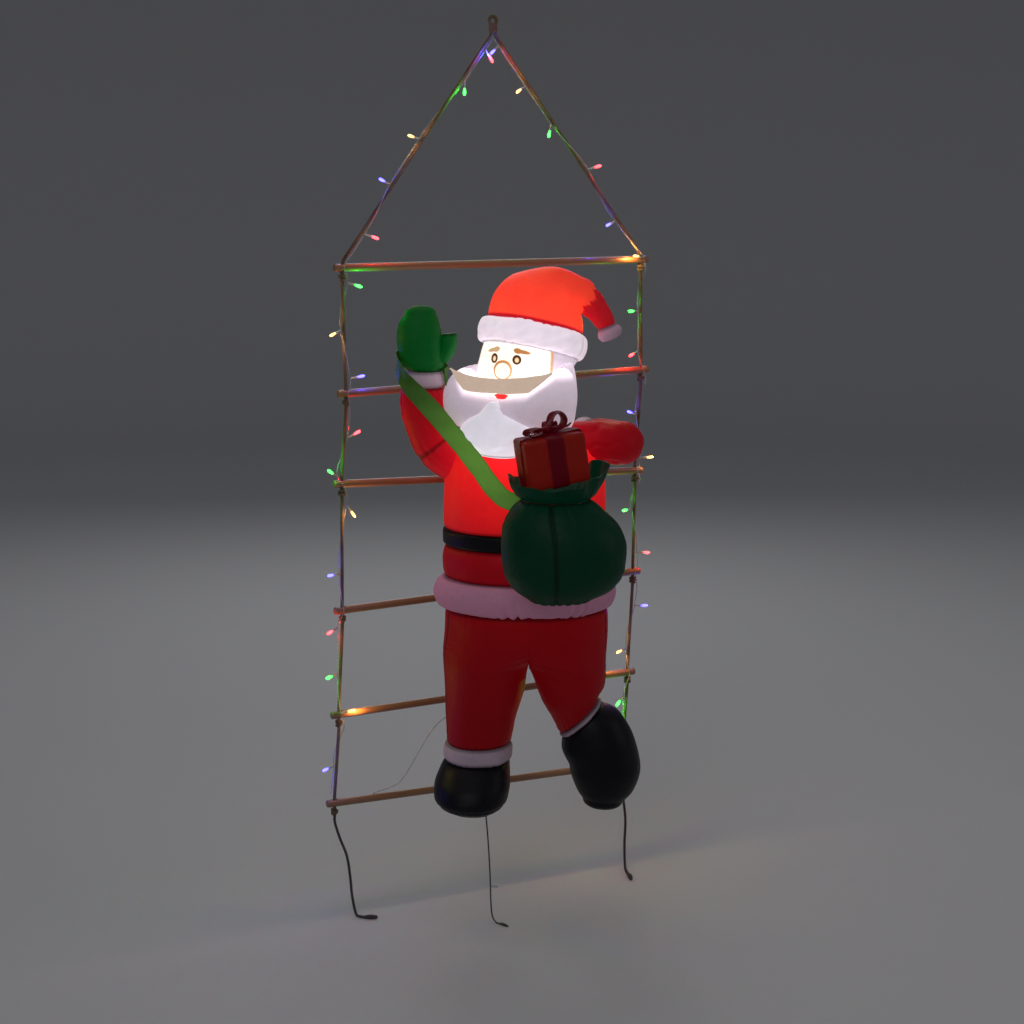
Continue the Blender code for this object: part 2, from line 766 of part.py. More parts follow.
def make_moustache(face):
    """A stiff flap across the face, sewn on at its middle. Each row: x, front y, top and bottom."""
    flap = FLAP_THICKNESS / SHARE
    half = (
        (109, -115, 939, 934), (96, -122, 935, 921), (80, -130, 933, 907),
        (69, -135, 931, 899), (40, -138, 927, 896), (14, -136, 925, 895),
    )
    rows = [(-x, y, top, low, flap) for x, y, top, low in half]
    rows.append((0, -133, 925, 895, 33))
    rows += [(x, y, top, low, flap) for x, y, top, low in reversed(half)]
    rings = [
        [shares(x, y, low), shares(x, y + deep, low), shares(x, y + deep, top), shares(x, y, top)]
        for x, y, top, low, deep in rows
    ]
    return add("moustache", skin(rings), TAN, face)


# Sack and present

# How far the back right of the sack's collar stands up, per unit of ruffle
COLLAR_LIFT = 330


def make_sack(figure):
    mouth = 706
    sack = loft("sack", DARK_GREEN, figure, (
        (66, -229, 512, 62, 54),
        (71, -231, 535, 97, 82),
        (74, -231, 570, 117, 96),
        (73, -231, 610, 121, 98),
        (68, -231, 650, 113, 92),
        (60, -231, 684, 90, 76),
        (56, -230, mouth, 68, 60),
    ), sides=16, domes=(8, 0))
    return sack, mouth


def make_collar(figure, mouth, gift_block):
    """The flared mouth of the sack, a thick cloth cup with a ruffled rim."""
    sides = 20
    wall = 1.6 * CLOTH_THICKNESS / SHARE
    centre = (57, -230)

    def ring(height, width, depth, ruffle):
        points = []
        for i in range(sides):
            angle = 2 * math.pi * i / sides
            wave = 1 + ruffle * math.cos(5 * angle)
            lift = ruffle * (150 * math.cos(2 * angle) + 60 * math.cos(angle))
            lift += ruffle * COLLAR_LIFT * max(math.cos(angle - 0.45), 0) ** 6
            points.append(shares(
                centre[0] + width * wave * math.cos(angle),
                centre[1] + depth * wave * math.sin(angle),
                height + lift,
            ))
        return points

    rings = [
        ring(mouth + SEAM_GAP, 64, 56, 0),
        ring(mouth + 8, 77, 67, 0.01),
        ring(mouth + 22, 88, 76, 0.04),
        ring(mouth + 38, 94, 82, 0.07),
        ring(mouth + 38, 94 - wall, 82 - wall, 0.07),
        ring(mouth + 22, 88 - wall, 76 - wall, 0.04),
        ring(mouth + 11, 75 - wall, 65 - wall, 0.01),
    ]
    collar = add("sack_collar", skin(rings), DARK_GREEN, figure)
    cut_clear(collar, gift_block)
    return collar


def box(name, size, look, parent, collection="inflatable_santa"):
    bm = bmesh.new()
    bmesh.ops.create_cube(bm, size=1)
    bmesh.ops.scale(bm, vec=size, verts=bm.verts)
    mesh = bpy.data.meshes.new(name)
    bm.to_mesh(mesh)
    bm.free()
    return add(name, mesh, look, parent, collection)


def make_gift(figure):
    """The present, its crossed ribbon and its bow, leaning in the mouth of the sack."""
    place = empty("gift_place", shares(49, -230, 783), 0, figure)
    place.rotation_euler = (0, math.radians(-GIFT_LEAN), math.radians(GIFT_TURN))
    gift = box("gift_box", GIFT_SIZE, GIFT, place)
    round_off = gift.modifiers.new("rounded", "BEVEL")
    round_off.width = GIFT_BEVEL
    round_off.segments = 2
    wide, deep, high = [side + 2 * CLOTH_THICKNESS for side in GIFT_SIZE]
    ribbon = box("gift_ribbon", (RIBBON_WIDTH, deep, high), RIBBON, place)
    crossing = box("ribbon_crossing", (wide, RIBBON_WIDTH, high), None, place, "cutters")
    join(ribbon, crossing)
    room = box("ribbon_room", [side + 2 * GAP for side in GIFT_SIZE], None, place, "cutters")
    cut = ribbon.modifiers.new("room", "BOOLEAN")
    cut.operation = "DIFFERENCE"
    cut.object = room
    make_bow(place, high / 2 + GAP)
    clearance = 2 * CLOTH_THICKNESS + 4 * GAP
    return box("gift_block", [side + clearance for side in GIFT_SIZE], None, place, "cutters")


def bow_loop(name, place, base, heading, rise, reach):
    """A flat ribbon loop that leaves the knot and comes back to it."""
    along = Vector((math.cos(math.radians(heading)), math.sin(math.radians(heading)), 0))
    up = Vector((0, 0, 1))
    profile = ((0, 0.10), (0.75, 0.12), (1.0, 0.5), (0.75, 0.9), (0, 0.35))
    points = [base + along * reach * u + up * rise * v for u, v in profile]
    centre = base + along * reach * 0.55 + up * rise * 0.45
    side = along.cross(up)
    strip = band(name, None, place, points, lambda i, p: (p - centre).normalized() + side * 0.001,
                 RIBBON_WIDTH * 0.8, 0.0016)
    return as_cutter(strip)


def bow_tail(name, place, base, heading, reach):
    along = Vector((math.cos(math.radians(heading)), math.sin(math.radians(heading)), 0))
    up = Vector((0, 0, 1))
    points = [base + along * reach * u + up * v for u, v in ((0, 0.004), (0.5, 0.010), (1, 0.016))]
    strip = band(name, None, place, points, lambda i, p: up, RIBBON_WIDTH * 0.7, 0.0016)
    return as_cutter(strip)


def make_bow(place, top):
    base = Vector((0, 0, top + 0.0005))
    bow = box("gift_bow", (0.020, 0.020, 0.012), RIBBON, place)
    bow.data.transform(Matrix.Translation(base + Vector((0, 0, 0.006))))
    loops = [
        bow_loop("bow_loop_left", place, base, 190, 0.034, 0.040),
        bow_loop("bow_loop_right", place, base, 10, 0.030, 0.044),
        bow_loop("bow_loop_front", place, base, 60, 0.030, 0.034),
    ]
    tails = [
        bow_tail("bow_tail_left", place, base, 205, 0.050),
        bow_tail("bow_tail_right", place, base, -30, 0.046),
    ]
    join(bow, *loops, *tails)


def make_strap(figure, *neighbours):
    """The sack's strap: a turn round the wrist, then straight down to the sack's mouth."""
    wrist = shares(-203, -10, 0)
    route = [shares(*point) for point in (
        (-160, -30, 914), (-158, 0, 920), (-176, 34, 930), (-206, 42, 942), (-238, 28, 950),
        (-255, -8, 946), (-246, -42, 925), (-222, -62, 896), (-196, -72, 870), (-160, -94, 832),
        (-122, -120, 790), (-90, -146, 752), (-66, -168, 722), (-46, -186, 703), (-24, -200, 694),
        (-6, -208, 691),
    )]
    points = smooth_route(route, 26)

    def outward(i, point):
        round_wrist = Vector((point.x - wrist.x, point.y - wrist.y, 0)).normalized()
        down_front = Vector((-0.45, -0.85, 0.2))
        share = min(max((i - 10) / 6, 0), 1)
        return round_wrist.lerp(down_front, share)

    strap = band("sack_strap", STRAP, figure, points, outward, STRAP_WIDTH, CLOTH_THICKNESS)
    cut_clear(strap, *neighbours)
    return strap


# Ties behind the figure

# Where each tie is sewn to the figure: distance in front of the rungs, and height above the sole
UPPER_TIE_SEWN = (0.075, 0.684)
LOWER_TIE_SEWN = (0.110, 0.433)


def make_tie(name, rung, sewn_place, *neighbours):
    """A webbing loop round a rung, sewn to the figure's back."""
    drop, shift, tilt = RUNG_HANG[rung - 1]
    level_here = -drop + (FIGURE_X - shift) * math.tan(math.radians(tilt))
    centre = Vector((FIGURE_X, 0, level_here))
    radius = RUNG_DIAMETER / 2 + CLOTH_THICKNESS / 2 + 2 * GAP
    forward, height = sewn_place
    sewn = Vector((FIGURE_X, -forward, height - SOLE_DROP))
    apart = Vector((0, 0, CLOTH_THICKNESS))
    turns = [math.radians(-90 + 180 * i / 8) for i in range(9)]
    bend = [centre + Vector((0, math.cos(t), math.sin(t))) * radius for t in turns]
    points = [sewn - apart, *bend, sewn + apart]
    middle = sewn.lerp(centre, 0.5)

    def outward(i, point):
        if i == 0:
            return Vector((0, 0, -1))
        if i == len(points) - 1:
            return Vector((0, 0, 1))
        return (point - centre).normalized() if (point - middle).y > 0 else point - middle

    tie = band(name, WEBBING, None, points, outward, TIE_WIDTH, CLOTH_THICKNESS)
    cut_clear(tie, *neighbours)


# Lines to the ground


def make_lines():
    lowest = RUNG_HANG[-1]
    knot_below = RUNG_DIAMETER / 2 + 2 * GAP + KNOT_LENGTH
    rest = -GROUND_DROP + TETHER_DIAMETER / 2
    knot = 1.7
    for name, side, route in (
        ("tether_left", -1, (
            (0.000, 0.000, 0.000), (0.000, 0.000, -0.014), (0.010, -0.002, -0.050),
            (0.024, -0.004, -0.090), (0.030, -0.006, -0.135), (0.032, -0.012, -0.180),
            (0.036, -0.026, None), (0.046, -0.042, None), (0.058, -0.052, None), (0.070, -0.056, None),
        )),
        ("tether_right", 1, (
            (0.000, 0.000, 0.000), (0.000, 0.000, -0.014), (0.003, -0.004, -0.050),
            (0.006, -0.010, -0.100), (0.002, -0.014, -0.150), (-0.004, -0.026, -0.185),
            (-0.012, -0.044, None), (-0.020, -0.066, None), (-0.026, -0.086, None), (-0.032, -0.104, None),
        )),
    ):
        start = rung_end(*lowest, side) + Vector((0, 0, -knot_below - 2 * GAP))
        points = [
            Vector((start.x + x, y, rest if z is None else start.z + z)) for x, y, z in route
        ]
        smooth = smooth_route(points, 20)
        radii = [1] * 17 + [knot, knot, 1]
        for point, radius in zip(smooth, radii):
            point.z = max(point.z, -GROUND_DROP + radius * TETHER_DIAMETER / 2)
        tube(name, TETHER, smooth, TETHER_DIAMETER, sides=6, radii=radii)


def make_boot_line(figure):
    """A thin line from the standing boot's sole to the ground, with a knot at its end."""
    bpy.context.view_layer.update()
    sole = figure.matrix_world @ shares(-80, -30, SOLE)
    ground = -GROUND_DROP + BOOT_LINE_DIAMETER / 2
    points = [
        sole + Vector((0, 0, -GAP)), sole + Vector((0.000, 0, -0.020)), sole + Vector((0.003, -0.001, -0.060)),
        sole + Vector((0.007, -0.002, -0.130)), Vector((sole.x + 0.009, sole.y - 0.006, ground + 0.022)),
        Vector((sole.x + 0.013, sole.y - 0.018, ground + 0.001)),
        Vector((sole.x + 0.020, sole.y - 0.036, ground)), Vector((sole.x + 0.026, sole.y - 0.050, ground)),
    ]
    smooth = smooth_route(points, 18)
    radii = [1] * 15 + [1.9, 1.9, 1]
    for point, radius in zip(smooth, radii):
        point.z = max(point.z, -GROUND_DROP + radius * BOOT_LINE_DIAMETER / 2)
    tube("boot_line", TETHER, smooth, BOOT_LINE_DIAMETER, sides=6, radii=radii)


def make_lead(figure):
    """The thin clear wire from the back of the standing leg to the lowest rung."""
    drop, shift, tilt = RUNG_HANG[-1]
    at_x = -0.285
    rung_top = -drop + (at_x - shift) * math.tan(math.radians(tilt)) + RUNG_DIAMETER / 2
    end = Vector((at_x, 0, rung_top + LEAD_DIAMETER / 2 + GAP))
    start = figure.matrix_world @ shares(-140, 66, 186)
    points = [
        start, start + Vector((-0.012, 0.014, 0.004)), start + Vector((-0.034, 0.026, -0.012)),
        start + Vector((-0.058, 0.034, -0.045)), start.lerp(end, 0.62) + Vector((0, 0.010, -0.030)),
        start.lerp(end, 0.80) + Vector((0, 0.006, -0.022)), end + Vector((0.022, 0.002, 0.004)), end,
    ]
    tube("lamp_lead", WIRE, smooth_route(points, 18), LEAD_DIAMETER, sides=6)


def make_ladder():
    make_loop()
    for number, hang in enumerate(RUNG_HANG, 1):
        make_rung(number, *hang)
    for name, side, lamps in (("left", -1, LAMPS_LEFT), ("right", 1, LAMPS_RIGHT)):
        make_side_rope(f"rope_{name}", side)
        make_light_string(f"light_string_{name}", side, lamps)
    make_lines()


def make_figure():
    figure = empty("figure", (FIGURE_X, -FIGURE_STANDOFF, -SOLE_DROP), FIGURE_TURN)
    face = empty("face", (0, 0, 0), FACE_TURN, figure)
    jacket, hem = make_body(figure)
    standing = make_standing_leg(figure)
    raised = make_raised_leg(figure)
    sleeve, cuff, mitten = make_waving_arm(figure, jacket)
    make_bent_arm(figure, jacket)
    head, brim = make_head(figure)
    beard, point = make_face(face, head, brim, jacket)
    sack, mouth = make_sack(figure)
    collar = make_collar(figure, mouth, make_gift(figure))
    strap = make_strap(figure, sleeve, cuff, mitten, sack, collar)
    cut_clear(beard, strap, sleeve)
    cut_clear(point, strap)
    make_tie("ladder_tie_upper", 3, UPPER_TIE_SEWN, jacket)
    make_tie("ladder_tie_lower", 4, LOWER_TIE_SEWN, hem, standing, raised)
    make_boot_line(figure)
    make_lead(figure)


start_scene()
make_ladder()
make_figure()
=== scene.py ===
"""The looks of an inflatable santa tied to a hanging rope ladder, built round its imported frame.

Metres, +Z up. The origin is the inside top of the hanging loop, and the figure is on the -Y side.
"""

import json
import math

import bmesh
import bpy
import numpy as np
from mathutils import Matrix, Vector

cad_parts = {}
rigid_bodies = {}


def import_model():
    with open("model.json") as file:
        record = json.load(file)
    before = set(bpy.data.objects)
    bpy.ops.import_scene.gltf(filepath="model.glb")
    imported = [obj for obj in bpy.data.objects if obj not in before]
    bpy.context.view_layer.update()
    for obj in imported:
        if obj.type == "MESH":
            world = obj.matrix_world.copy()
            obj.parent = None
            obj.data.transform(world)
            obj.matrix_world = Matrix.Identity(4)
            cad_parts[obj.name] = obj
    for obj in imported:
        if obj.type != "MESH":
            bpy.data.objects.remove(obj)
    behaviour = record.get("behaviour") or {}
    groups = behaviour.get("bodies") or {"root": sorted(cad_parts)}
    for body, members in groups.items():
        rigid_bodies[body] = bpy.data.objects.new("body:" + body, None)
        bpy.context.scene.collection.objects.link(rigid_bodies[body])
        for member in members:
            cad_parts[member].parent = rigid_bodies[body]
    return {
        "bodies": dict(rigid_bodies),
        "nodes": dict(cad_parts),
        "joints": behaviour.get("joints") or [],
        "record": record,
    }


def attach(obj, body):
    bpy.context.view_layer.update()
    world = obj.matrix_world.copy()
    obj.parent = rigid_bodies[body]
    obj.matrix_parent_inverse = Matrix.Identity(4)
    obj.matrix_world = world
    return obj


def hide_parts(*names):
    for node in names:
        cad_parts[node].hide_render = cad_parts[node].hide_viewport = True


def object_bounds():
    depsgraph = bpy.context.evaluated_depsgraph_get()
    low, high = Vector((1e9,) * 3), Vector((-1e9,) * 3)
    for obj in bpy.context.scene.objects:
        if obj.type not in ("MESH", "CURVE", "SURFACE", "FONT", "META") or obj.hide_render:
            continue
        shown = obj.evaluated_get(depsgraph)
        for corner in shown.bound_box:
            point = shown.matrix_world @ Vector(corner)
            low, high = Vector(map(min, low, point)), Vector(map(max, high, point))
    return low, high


# Stage
# The part hangs over a plain pale floor that curves up into a plain pale wall, in the light of large
# soft lamps. The camera stands to the left of the figure, and looks a little down on it.
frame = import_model()
cad_low, cad_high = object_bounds()
scene = bpy.context.scene
scene.view_settings.view_transform = "Standard"
scene.cycles.max_bounces = 6
scene.cycles.diffuse_bounces = 2

CAMERA_PLACE = (-1.842, -3.716, -0.27)
# Degrees that the camera looks down by, and that it is turned by about the vertical
CAMERA_DOWN, CAMERA_TURN = 10.2, -26.9


def add_object(name, data):
    """A new object in the scene."""
    made = bpy.data.objects.new(name, data)
    scene.collection.objects.link(made)
    return made


def feed(node, feeds):
    """Gives a shader node its inputs, each a value or another node's output."""
    for key, value in feeds.items():
        if isinstance(value, bpy.types.NodeSocket):
            node.id_data.links.new(value, node.inputs[key])
        else:
            node.inputs[key].default_value = value


def new_material(name, colour, roughness):
    """A material with its node tree and its shader, which starts with a plain colour and roughness."""
    made = bpy.data.materials.new(name)
    made.use_nodes = True
    made.diffuse_color = (*colour, 1)
    shader = made.node_tree.nodes["Principled BSDF"]
    feed(shader, {"Base Color": (*colour, 1), "Roughness": roughness})
    return made, made.node_tree, shader


scene.camera = add_object("camera", bpy.data.cameras.new("camera"))
scene.camera.data.lens = 70
scene.camera.data.sensor_width = 36
scene.camera.location = CAMERA_PLACE
scene.camera.rotation_euler = (math.radians(90 - CAMERA_DOWN), 0, math.radians(CAMERA_TURN))

GROUND = cad_low.z
FLOOR_RADIUS = 7.0
WALL_BEND = 2.5
WALL_TOP = 6.0
bm = bmesh.new()
profile = [(0.01, 0), (FLOOR_RADIUS, 0)]
for i in range(1, 13):
    turn = math.radians(90 * i / 12)
    profile.append((FLOOR_RADIUS + WALL_BEND * math.sin(turn), WALL_BEND * (1 - math.cos(turn))))
profile.append((FLOOR_RADIUS + WALL_BEND, WALL_TOP))
edges = []
for (near, low), (far, high) in zip(profile, profile[1:]):
    ends = bm.verts.new((near, 0, GROUND + low)), bm.verts.new((far, 0, GROUND + high))
    edges.append(bm.edges.new(ends))
bmesh.ops.spin(bm, geom=edges, cent=(0, 0, 0), axis=(0, 0, 1), angle=2 * math.pi, steps=96)
bmesh.ops.remove_doubles(bm, verts=bm.verts, dist=0.002)
floor = add_object("floor", bpy.data.meshes.new("floor"))
bm.to_mesh(floor.data)
bm.free()
floor.data.shade_smooth()
floor.data.materials.append(new_material("pale_floor", (0.60, 0.60, 0.62), 0.9)[0])

FIGURE_MIDDLE = Vector((0, -0.18, -1.05))
for name, place, width, power in (
    ("key_lamp", (-2.6, -3.2, 1.3), 2.2, 25),
    ("fill_lamp", (3.2, -2.4, 0.2), 2.4, 9),
    ("back_lamp", (1.4, 3.2, 1.0), 2.2, 22),
    ("top_lamp", (0.0, -0.4, 3.2), 2.6, 10),
):
    lamp = add_object(name, bpy.data.lights.new(name, "AREA"))
    lamp.data.shape = "DISK"
    lamp.data.size = width
    lamp.data.energy = power
    lamp.location = place
    lamp.rotation_euler = (FIGURE_MIDDLE - Vector(place)).to_track_quat("-Z", "Y").to_euler()
scene.world = bpy.data.worlds.new("studio")
scene.world.use_nodes = True
feed(scene.world.node_tree.nodes["Background"], {"Color": (0.85, 0.87, 0.92, 1), "Strength": 0.13})

# Tails of the side ropes
# Below its last knot each side rope goes on as a dark cord of two twisted strands. It hangs down to the
# floor, lies on it and ends in a knot.
ROPE_DIAMETER = 0.0075
ROPE_SPAN = 0.69
RUNG_DIAMETER = 0.016
KNOT_LENGTH = 0.019
GAP = 0.0003
# Each rung as it hangs: drop below the loop, shift to the right, tilt up to the right
RUNG_HANG = (
    (0.494, 0.008, 0.0),
    (0.739, 0.012, 1.2),
    (0.941, 0.000, -1.8),
    (1.185, -0.003, 1.3),
    (1.409, -0.014, 0.7),
    (1.609, -0.027, -1.1),
)
TETHER_DIAMETER = 0.0065


def rung_end(drop, shift, tilt, side):
    """Where the middle of a side rope passes through the middle of a rung."""
    reach = side * ROPE_SPAN / 2
    rise = reach * math.sin(math.radians(tilt))
    return Vector((shift + reach * math.cos(math.radians(tilt)), 0, -drop + rise))


def run_of(line):
    """How far along a line each of its points lies."""
    return np.concatenate([[0], np.cumsum(np.linalg.norm(np.diff(line, axis=0), axis=1))])


def points_at(line, places):
    """The points of a line at these distances along it."""
    return np.stack([np.interp(places, run_of(line), axis) for axis in line.T], 1)


def smooth_route(points, count):
    """Points spaced evenly along a Catmull-Rom curve through the given ones."""
    route = [Vector(p) for p in points]
    ends = [2 * route[0] - route[1], *route, 2 * route[-1] - route[-2]]
    fine = []
    for p0, p1, p2, p3 in zip(ends, ends[1:], ends[2:], ends[3:]):
        for i in range(16):
            t = i / 16
            fine.append(
                0.5 * (2 * p1 + (p2 - p0) * t + (2 * p0 - 5 * p1 + 4 * p2 - p3) * t**2
                       + (3 * p1 - p0 - 3 * p2 + p3) * t**3)
            )
    fine.append(route[-1])
    line = np.array(fine)
    return [Vector(p) for p in points_at(line, np.linspace(0, run_of(line)[-1], count))]


def length_of(points):
    return sum((b - a).length for a, b in zip(points, points[1:]))


def carried_frames(path):
    """A pair of directions square to the path at each point, which turn with it and don't spin."""
    path = np.asarray(path, float)
    along = np.gradient(path, axis=0)
    along /= np.linalg.norm(along, axis=1)[:, None]
    first = np.cross(along[0], (0, 1, 0) if abs(along[0][1]) < 0.9 else (1, 0, 0))
    sides = [first / np.linalg.norm(first)]
    for t in along[1:]:
        s = sides[-1] - t * (sides[-1] @ t)
        sides.append(s / np.linalg.norm(s))
    sides = np.array(sides)
    return sides, np.cross(along, sides)


def ring_faces(rings, around, capped=True):
    """The faces between rings of points that follow each other, and one over each end."""
    index = np.arange(rings * around).reshape(rings, around)
    nxt = np.roll(index, -1, 1)
    faces = np.stack([index[:-1], nxt[:-1], nxt[1:], index[1:]], -1).reshape(-1, 4).tolist()
    return faces + [index[0, ::-1].tolist(), index[-1].tolist()] if capped else faces


def round_tube(path, radii, sides):
    """Points and faces of a closed round tube along the path."""
    path = np.asarray(path, float)
    one, two = carried_frames(path)
    turn = np.linspace(0, 2 * math.pi, sides, endpoint=False)
    ring = np.cos(turn)[None, :, None] * one[:, None] + np.sin(turn)[None, :, None] * two[:, None]
    radii = np.broadcast_to(np.asarray(radii, float), len(path))
    return (path[:, None] + ring * radii[:, None, None]).reshape(-1, 3), ring_faces(len(path), sides)


def piece_of(name, parts):
    """One mesh object of several lots of points and faces."""
    points, faces, count = [], [], 0
    for part_points, part_faces in parts:
        points.append(np.asarray(part_points))
        faces += [tuple(i + count for i in face) for face in part_faces]
        count += len(part_points)
    mesh = bpy.data.meshes.new(name)
    mesh.from_pydata(np.concatenate(points).tolist(), [], faces)
    mesh.shade_smooth()
    mesh.set_sharp_from_angle(angle=math.radians(50))
    return add_object(name, mesh)


def dress(obj, material, slot, *nodes):
    """Gives a piece its material, hangs it on the part and lets it stand for its CAD nodes."""
    obj.data.materials.append(material)
    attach(obj, "root")
    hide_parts(*nodes)
    return obj


def twisted(path, diameter, strands, pitch, sides=7, steps=9, spread=1.0):
    """Strands laid round each other along the path, which is spaced evenly first."""
    path = np.asarray(path, float)
    lengths = run_of(path)
    at = np.linspace(0, lengths[-1], max(int(lengths[-1] / pitch * steps), 4))
    line = points_at(path, at)
    swell = np.interp(at, lengths, np.broadcast_to(spread, len(path)))
    one, two = carried_frames(line)
    share = 1 / (1 + 1 / math.sin(math.pi / strands))
    radius = diameter / 2 * share
    lots = []
    for k in range(strands):
        turn = 2 * math.pi * (at / pitch + k / strands)
        out = (diameter / 2 - radius) * swell
        centre = line + one * (np.cos(turn) * out)[:, None] + two * (np.sin(turn) * out)[:, None]
        lots.append(round_tube(centre, radius * 1.06 * swell, sides))
    return lots


def knotted(line, diameter, knot, long):
    """The swell along a cord whose end is a knot of so many points. It also lays the cord on the floor."""
    swell = np.ones(len(line))
    swell[-long - 1:-1] = 1 + (knot - 1) * np.sin(np.linspace(0.15, 0.85, long) * math.pi)
    for point, size in zip(line, swell):
        point.z = max(point.z, GROUND + size * diameter / 2)
    return swell


def add_node(tree, kind, feeds=None, **settings):
    """A new shader node with its settings and its inputs."""
    made = tree.nodes.new(kind)
    for key, value in settings.items():
        setattr(made, key, value)
    feed(made, feeds or {})
    return made


def place_in(tree):
    """The place on the piece itself, in metres."""
    return add_node(tree, "ShaderNodeTexCoord").outputs["Object"]


def noise(tree, where, scale, detail, **more):
    """Soft random values from 0 to 1."""
    feeds = {"Vector": where, "Scale": scale, "Detail": detail, **more}
    return add_node(tree, "ShaderNodeTexNoise", feeds).outputs["Fac"]


def maths(tree, operation, *values):
    """The result of one operation on values and other nodes' outputs."""
    return add_node(tree, "ShaderNodeMath", dict(enumerate(values)), operation=operation).outputs[0]


def remap(tree, value, low, high, to_low=0.0, to_high=1.0):
    """A value brought from one range to another, and held inside it."""
    feeds = {"Value": value, "From Min": low, "From Max": high, "To Min": to_low, "To Max": to_high}
    return add_node(tree, "ShaderNodeMapRange", feeds).outputs[0]


def blend(tree, factor, one, other):
    """A mix of two colours, each three values or another node's output."""
    one, other = [(*c, 1) if isinstance(c, tuple) else c for c in (one, other)]
    feeds = {"Factor": factor, "A": one, "B": other}
    return add_node(tree, "ShaderNodeMix", feeds, data_type="RGBA").outputs["Result"]


def relief(tree, height, depth, **more):
    """The normals of a surface raised by a height, over a depth in metres."""
    feeds = {"Height": height, "Distance": depth, **more}
    return add_node(tree, "ShaderNodeBump", feeds).outputs["Normal"]


def cover(tree, shader, group, feeds, depth):
    """Puts the colour, the roughness and the height of a node group on a shader."""
    made = add_node(tree, "ShaderNodeGroup", feeds, node_tree=group).outputs
    feed(shader, {"Base Color": made["Colour"], "Roughness": made["Roughness"],
                  "Normal": relief(tree, made["Height"], depth)})


def new_group(name, inputs, outputs):
    """A shader node group with named sockets. Each is a name, a type and, for an input, its value."""
    tree = bpy.data.node_groups.new(name, "ShaderNodeTree")
    for label, kind, value in inputs:
        socket = tree.interface.new_socket(label, in_out="INPUT", socket_type=f"NodeSocket{kind}")
        socket.default_value = value
    for label, kind in outputs:
        tree.interface.new_socket(label, in_out="OUTPUT", socket_type=f"NodeSocket{kind}")
    return tree, tree.nodes.new("NodeGroupInput").outputs, tree.nodes.new("NodeGroupOutput")


# Spun fibre: short streaks and dark gaps between hairs, for the cords and the ropes
fibre, given, out = new_group(
    "spun_fibre",
    [("Colour", "Color", (0.2, 0.13, 0.07, 1)), ("Dark", "Color", (0.05, 0.03, 0.02, 1)),
     ("Streaks", "Float", 260.0)],
    [("Colour", "Color"), ("Roughness", "Float"), ("Height", "Float")],
)
where = place_in(fibre)
streak = noise(fibre, where, given["Streaks"], 4.0, Roughness=0.7, Distortion=1.5)
stained = maths(fibre, "MULTIPLY", streak, noise(fibre, where, 22.0, 3.0))
feed(out, {
    "Colour": blend(fibre, remap(fibre, stained, 0.12, 0.42), given["Dark"], given["Colour"]),
    "Roughness": remap(fibre, streak, 0, 1, 0.95, 0.72),
    "Height": streak,
})


def fibre_material(name, colour, dark, streaks, depth):
    """Spun fibre of a colour with dark gaps. streaks is how many there are in a metre."""
    made, tree, shader = new_material(name, colour, 0.9)
    cover(tree, shader, fibre, {"Colour": (*colour, 1), "Dark": (*dark, 1), "Streaks": streaks}, depth)
    shader.inputs["Sheen Weight"].default_value = 0.25
    return made


TETHER_CORD = fibre_material("tether_cord", (0.075, 0.062, 0.060), (0.018, 0.014, 0.016), 420.0, 0.0006)
TETHER_TWIST = 0.014
TETHER_KNOT = 1.6
# Each tail: its side, and places counted from its start, where None is down on the floor
TETHER_ROUTES = {
    "tether_left": (-1, (
        (0.000, 0.000, 0.000), (0.000, 0.000, -0.014), (0.010, -0.002, -0.050),
        (0.024, -0.004, -0.090), (0.030, -0.006, -0.135), (0.032, -0.012, -0.180),
        (0.036, -0.026, None), (0.046, -0.042, None), (0.058, -0.052, None), (0.070, -0.056, None),
    )),
    "tether_right": (1, (
        (0.000, 0.000, 0.000), (0.000, 0.000, -0.014), (0.003, -0.004, -0.050),
        (0.006, -0.010, -0.100), (0.002, -0.014, -0.150), (-0.004, -0.026, -0.185),
        (-0.012, -0.044, None), (-0.020, -0.066, None), (-0.026, -0.086, None), (-0.032, -0.104, None),
    )),
}
for name, (side, route) in TETHER_ROUTES.items():
    start = rung_end(*RUNG_HANG[-1], side) - Vector((0, 0, RUNG_DIAMETER / 2 + 4 * GAP + KNOT_LENGTH))
    rest = GROUND + TETHER_DIAMETER / 2
    line = smooth_route([(start.x + x, y, rest if z is None else start.z + z) for x, y, z in route], 90)
    swell = knotted(line, TETHER_DIAMETER, TETHER_KNOT, 8)
    tail = piece_of(name + "_cord", twisted(line, TETHER_DIAMETER, 2, TETHER_TWIST, 8, 12, swell))
    dress(tail, TETHER_CORD, "tether_cord", name)

# Line from the boot
# A thin dark cord sewn into the sole of the standing boot, which hangs down to the floor and ends in a
# small knot there.
FIGURE_AT = (-0.019, -0.181, -1.625)
FIGURE_TURN = -26.9
FIGURE_PLACE = Matrix.Translation(FIGURE_AT) @ Matrix.Rotation(math.radians(FIGURE_TURN), 4, "Z")
BOOT_LINE_DIAMETER = 0.0035
BOOT_LINE_TWIST = 0.009
BOOT_LINE_KNOT = 1.9
SOLE = 0.022
sole = FIGURE_PLACE @ Vector((-0.080, -0.030, SOLE))
rest = GROUND + BOOT_LINE_DIAMETER / 2
line = smooth_route([
    sole + Vector((0, 0, -GAP)), sole + Vector((0.000, 0, -0.020)), sole + Vector((0.003, -0.001, -0.060)),
    sole + Vector((0.007, -0.002, -0.130)), Vector((sole.x + 0.009, sole.y - 0.006, rest + 0.022)),
    Vector((sole.x + 0.013, sole.y - 0.018, rest + 0.001)),
    Vector((sole.x + 0.020, sole.y - 0.036, rest)), Vector((sole.x + 0.026, sole.y - 0.050, rest)),
], 80)
swell = knotted(line, BOOT_LINE_DIAMETER, BOOT_LINE_KNOT, 6)
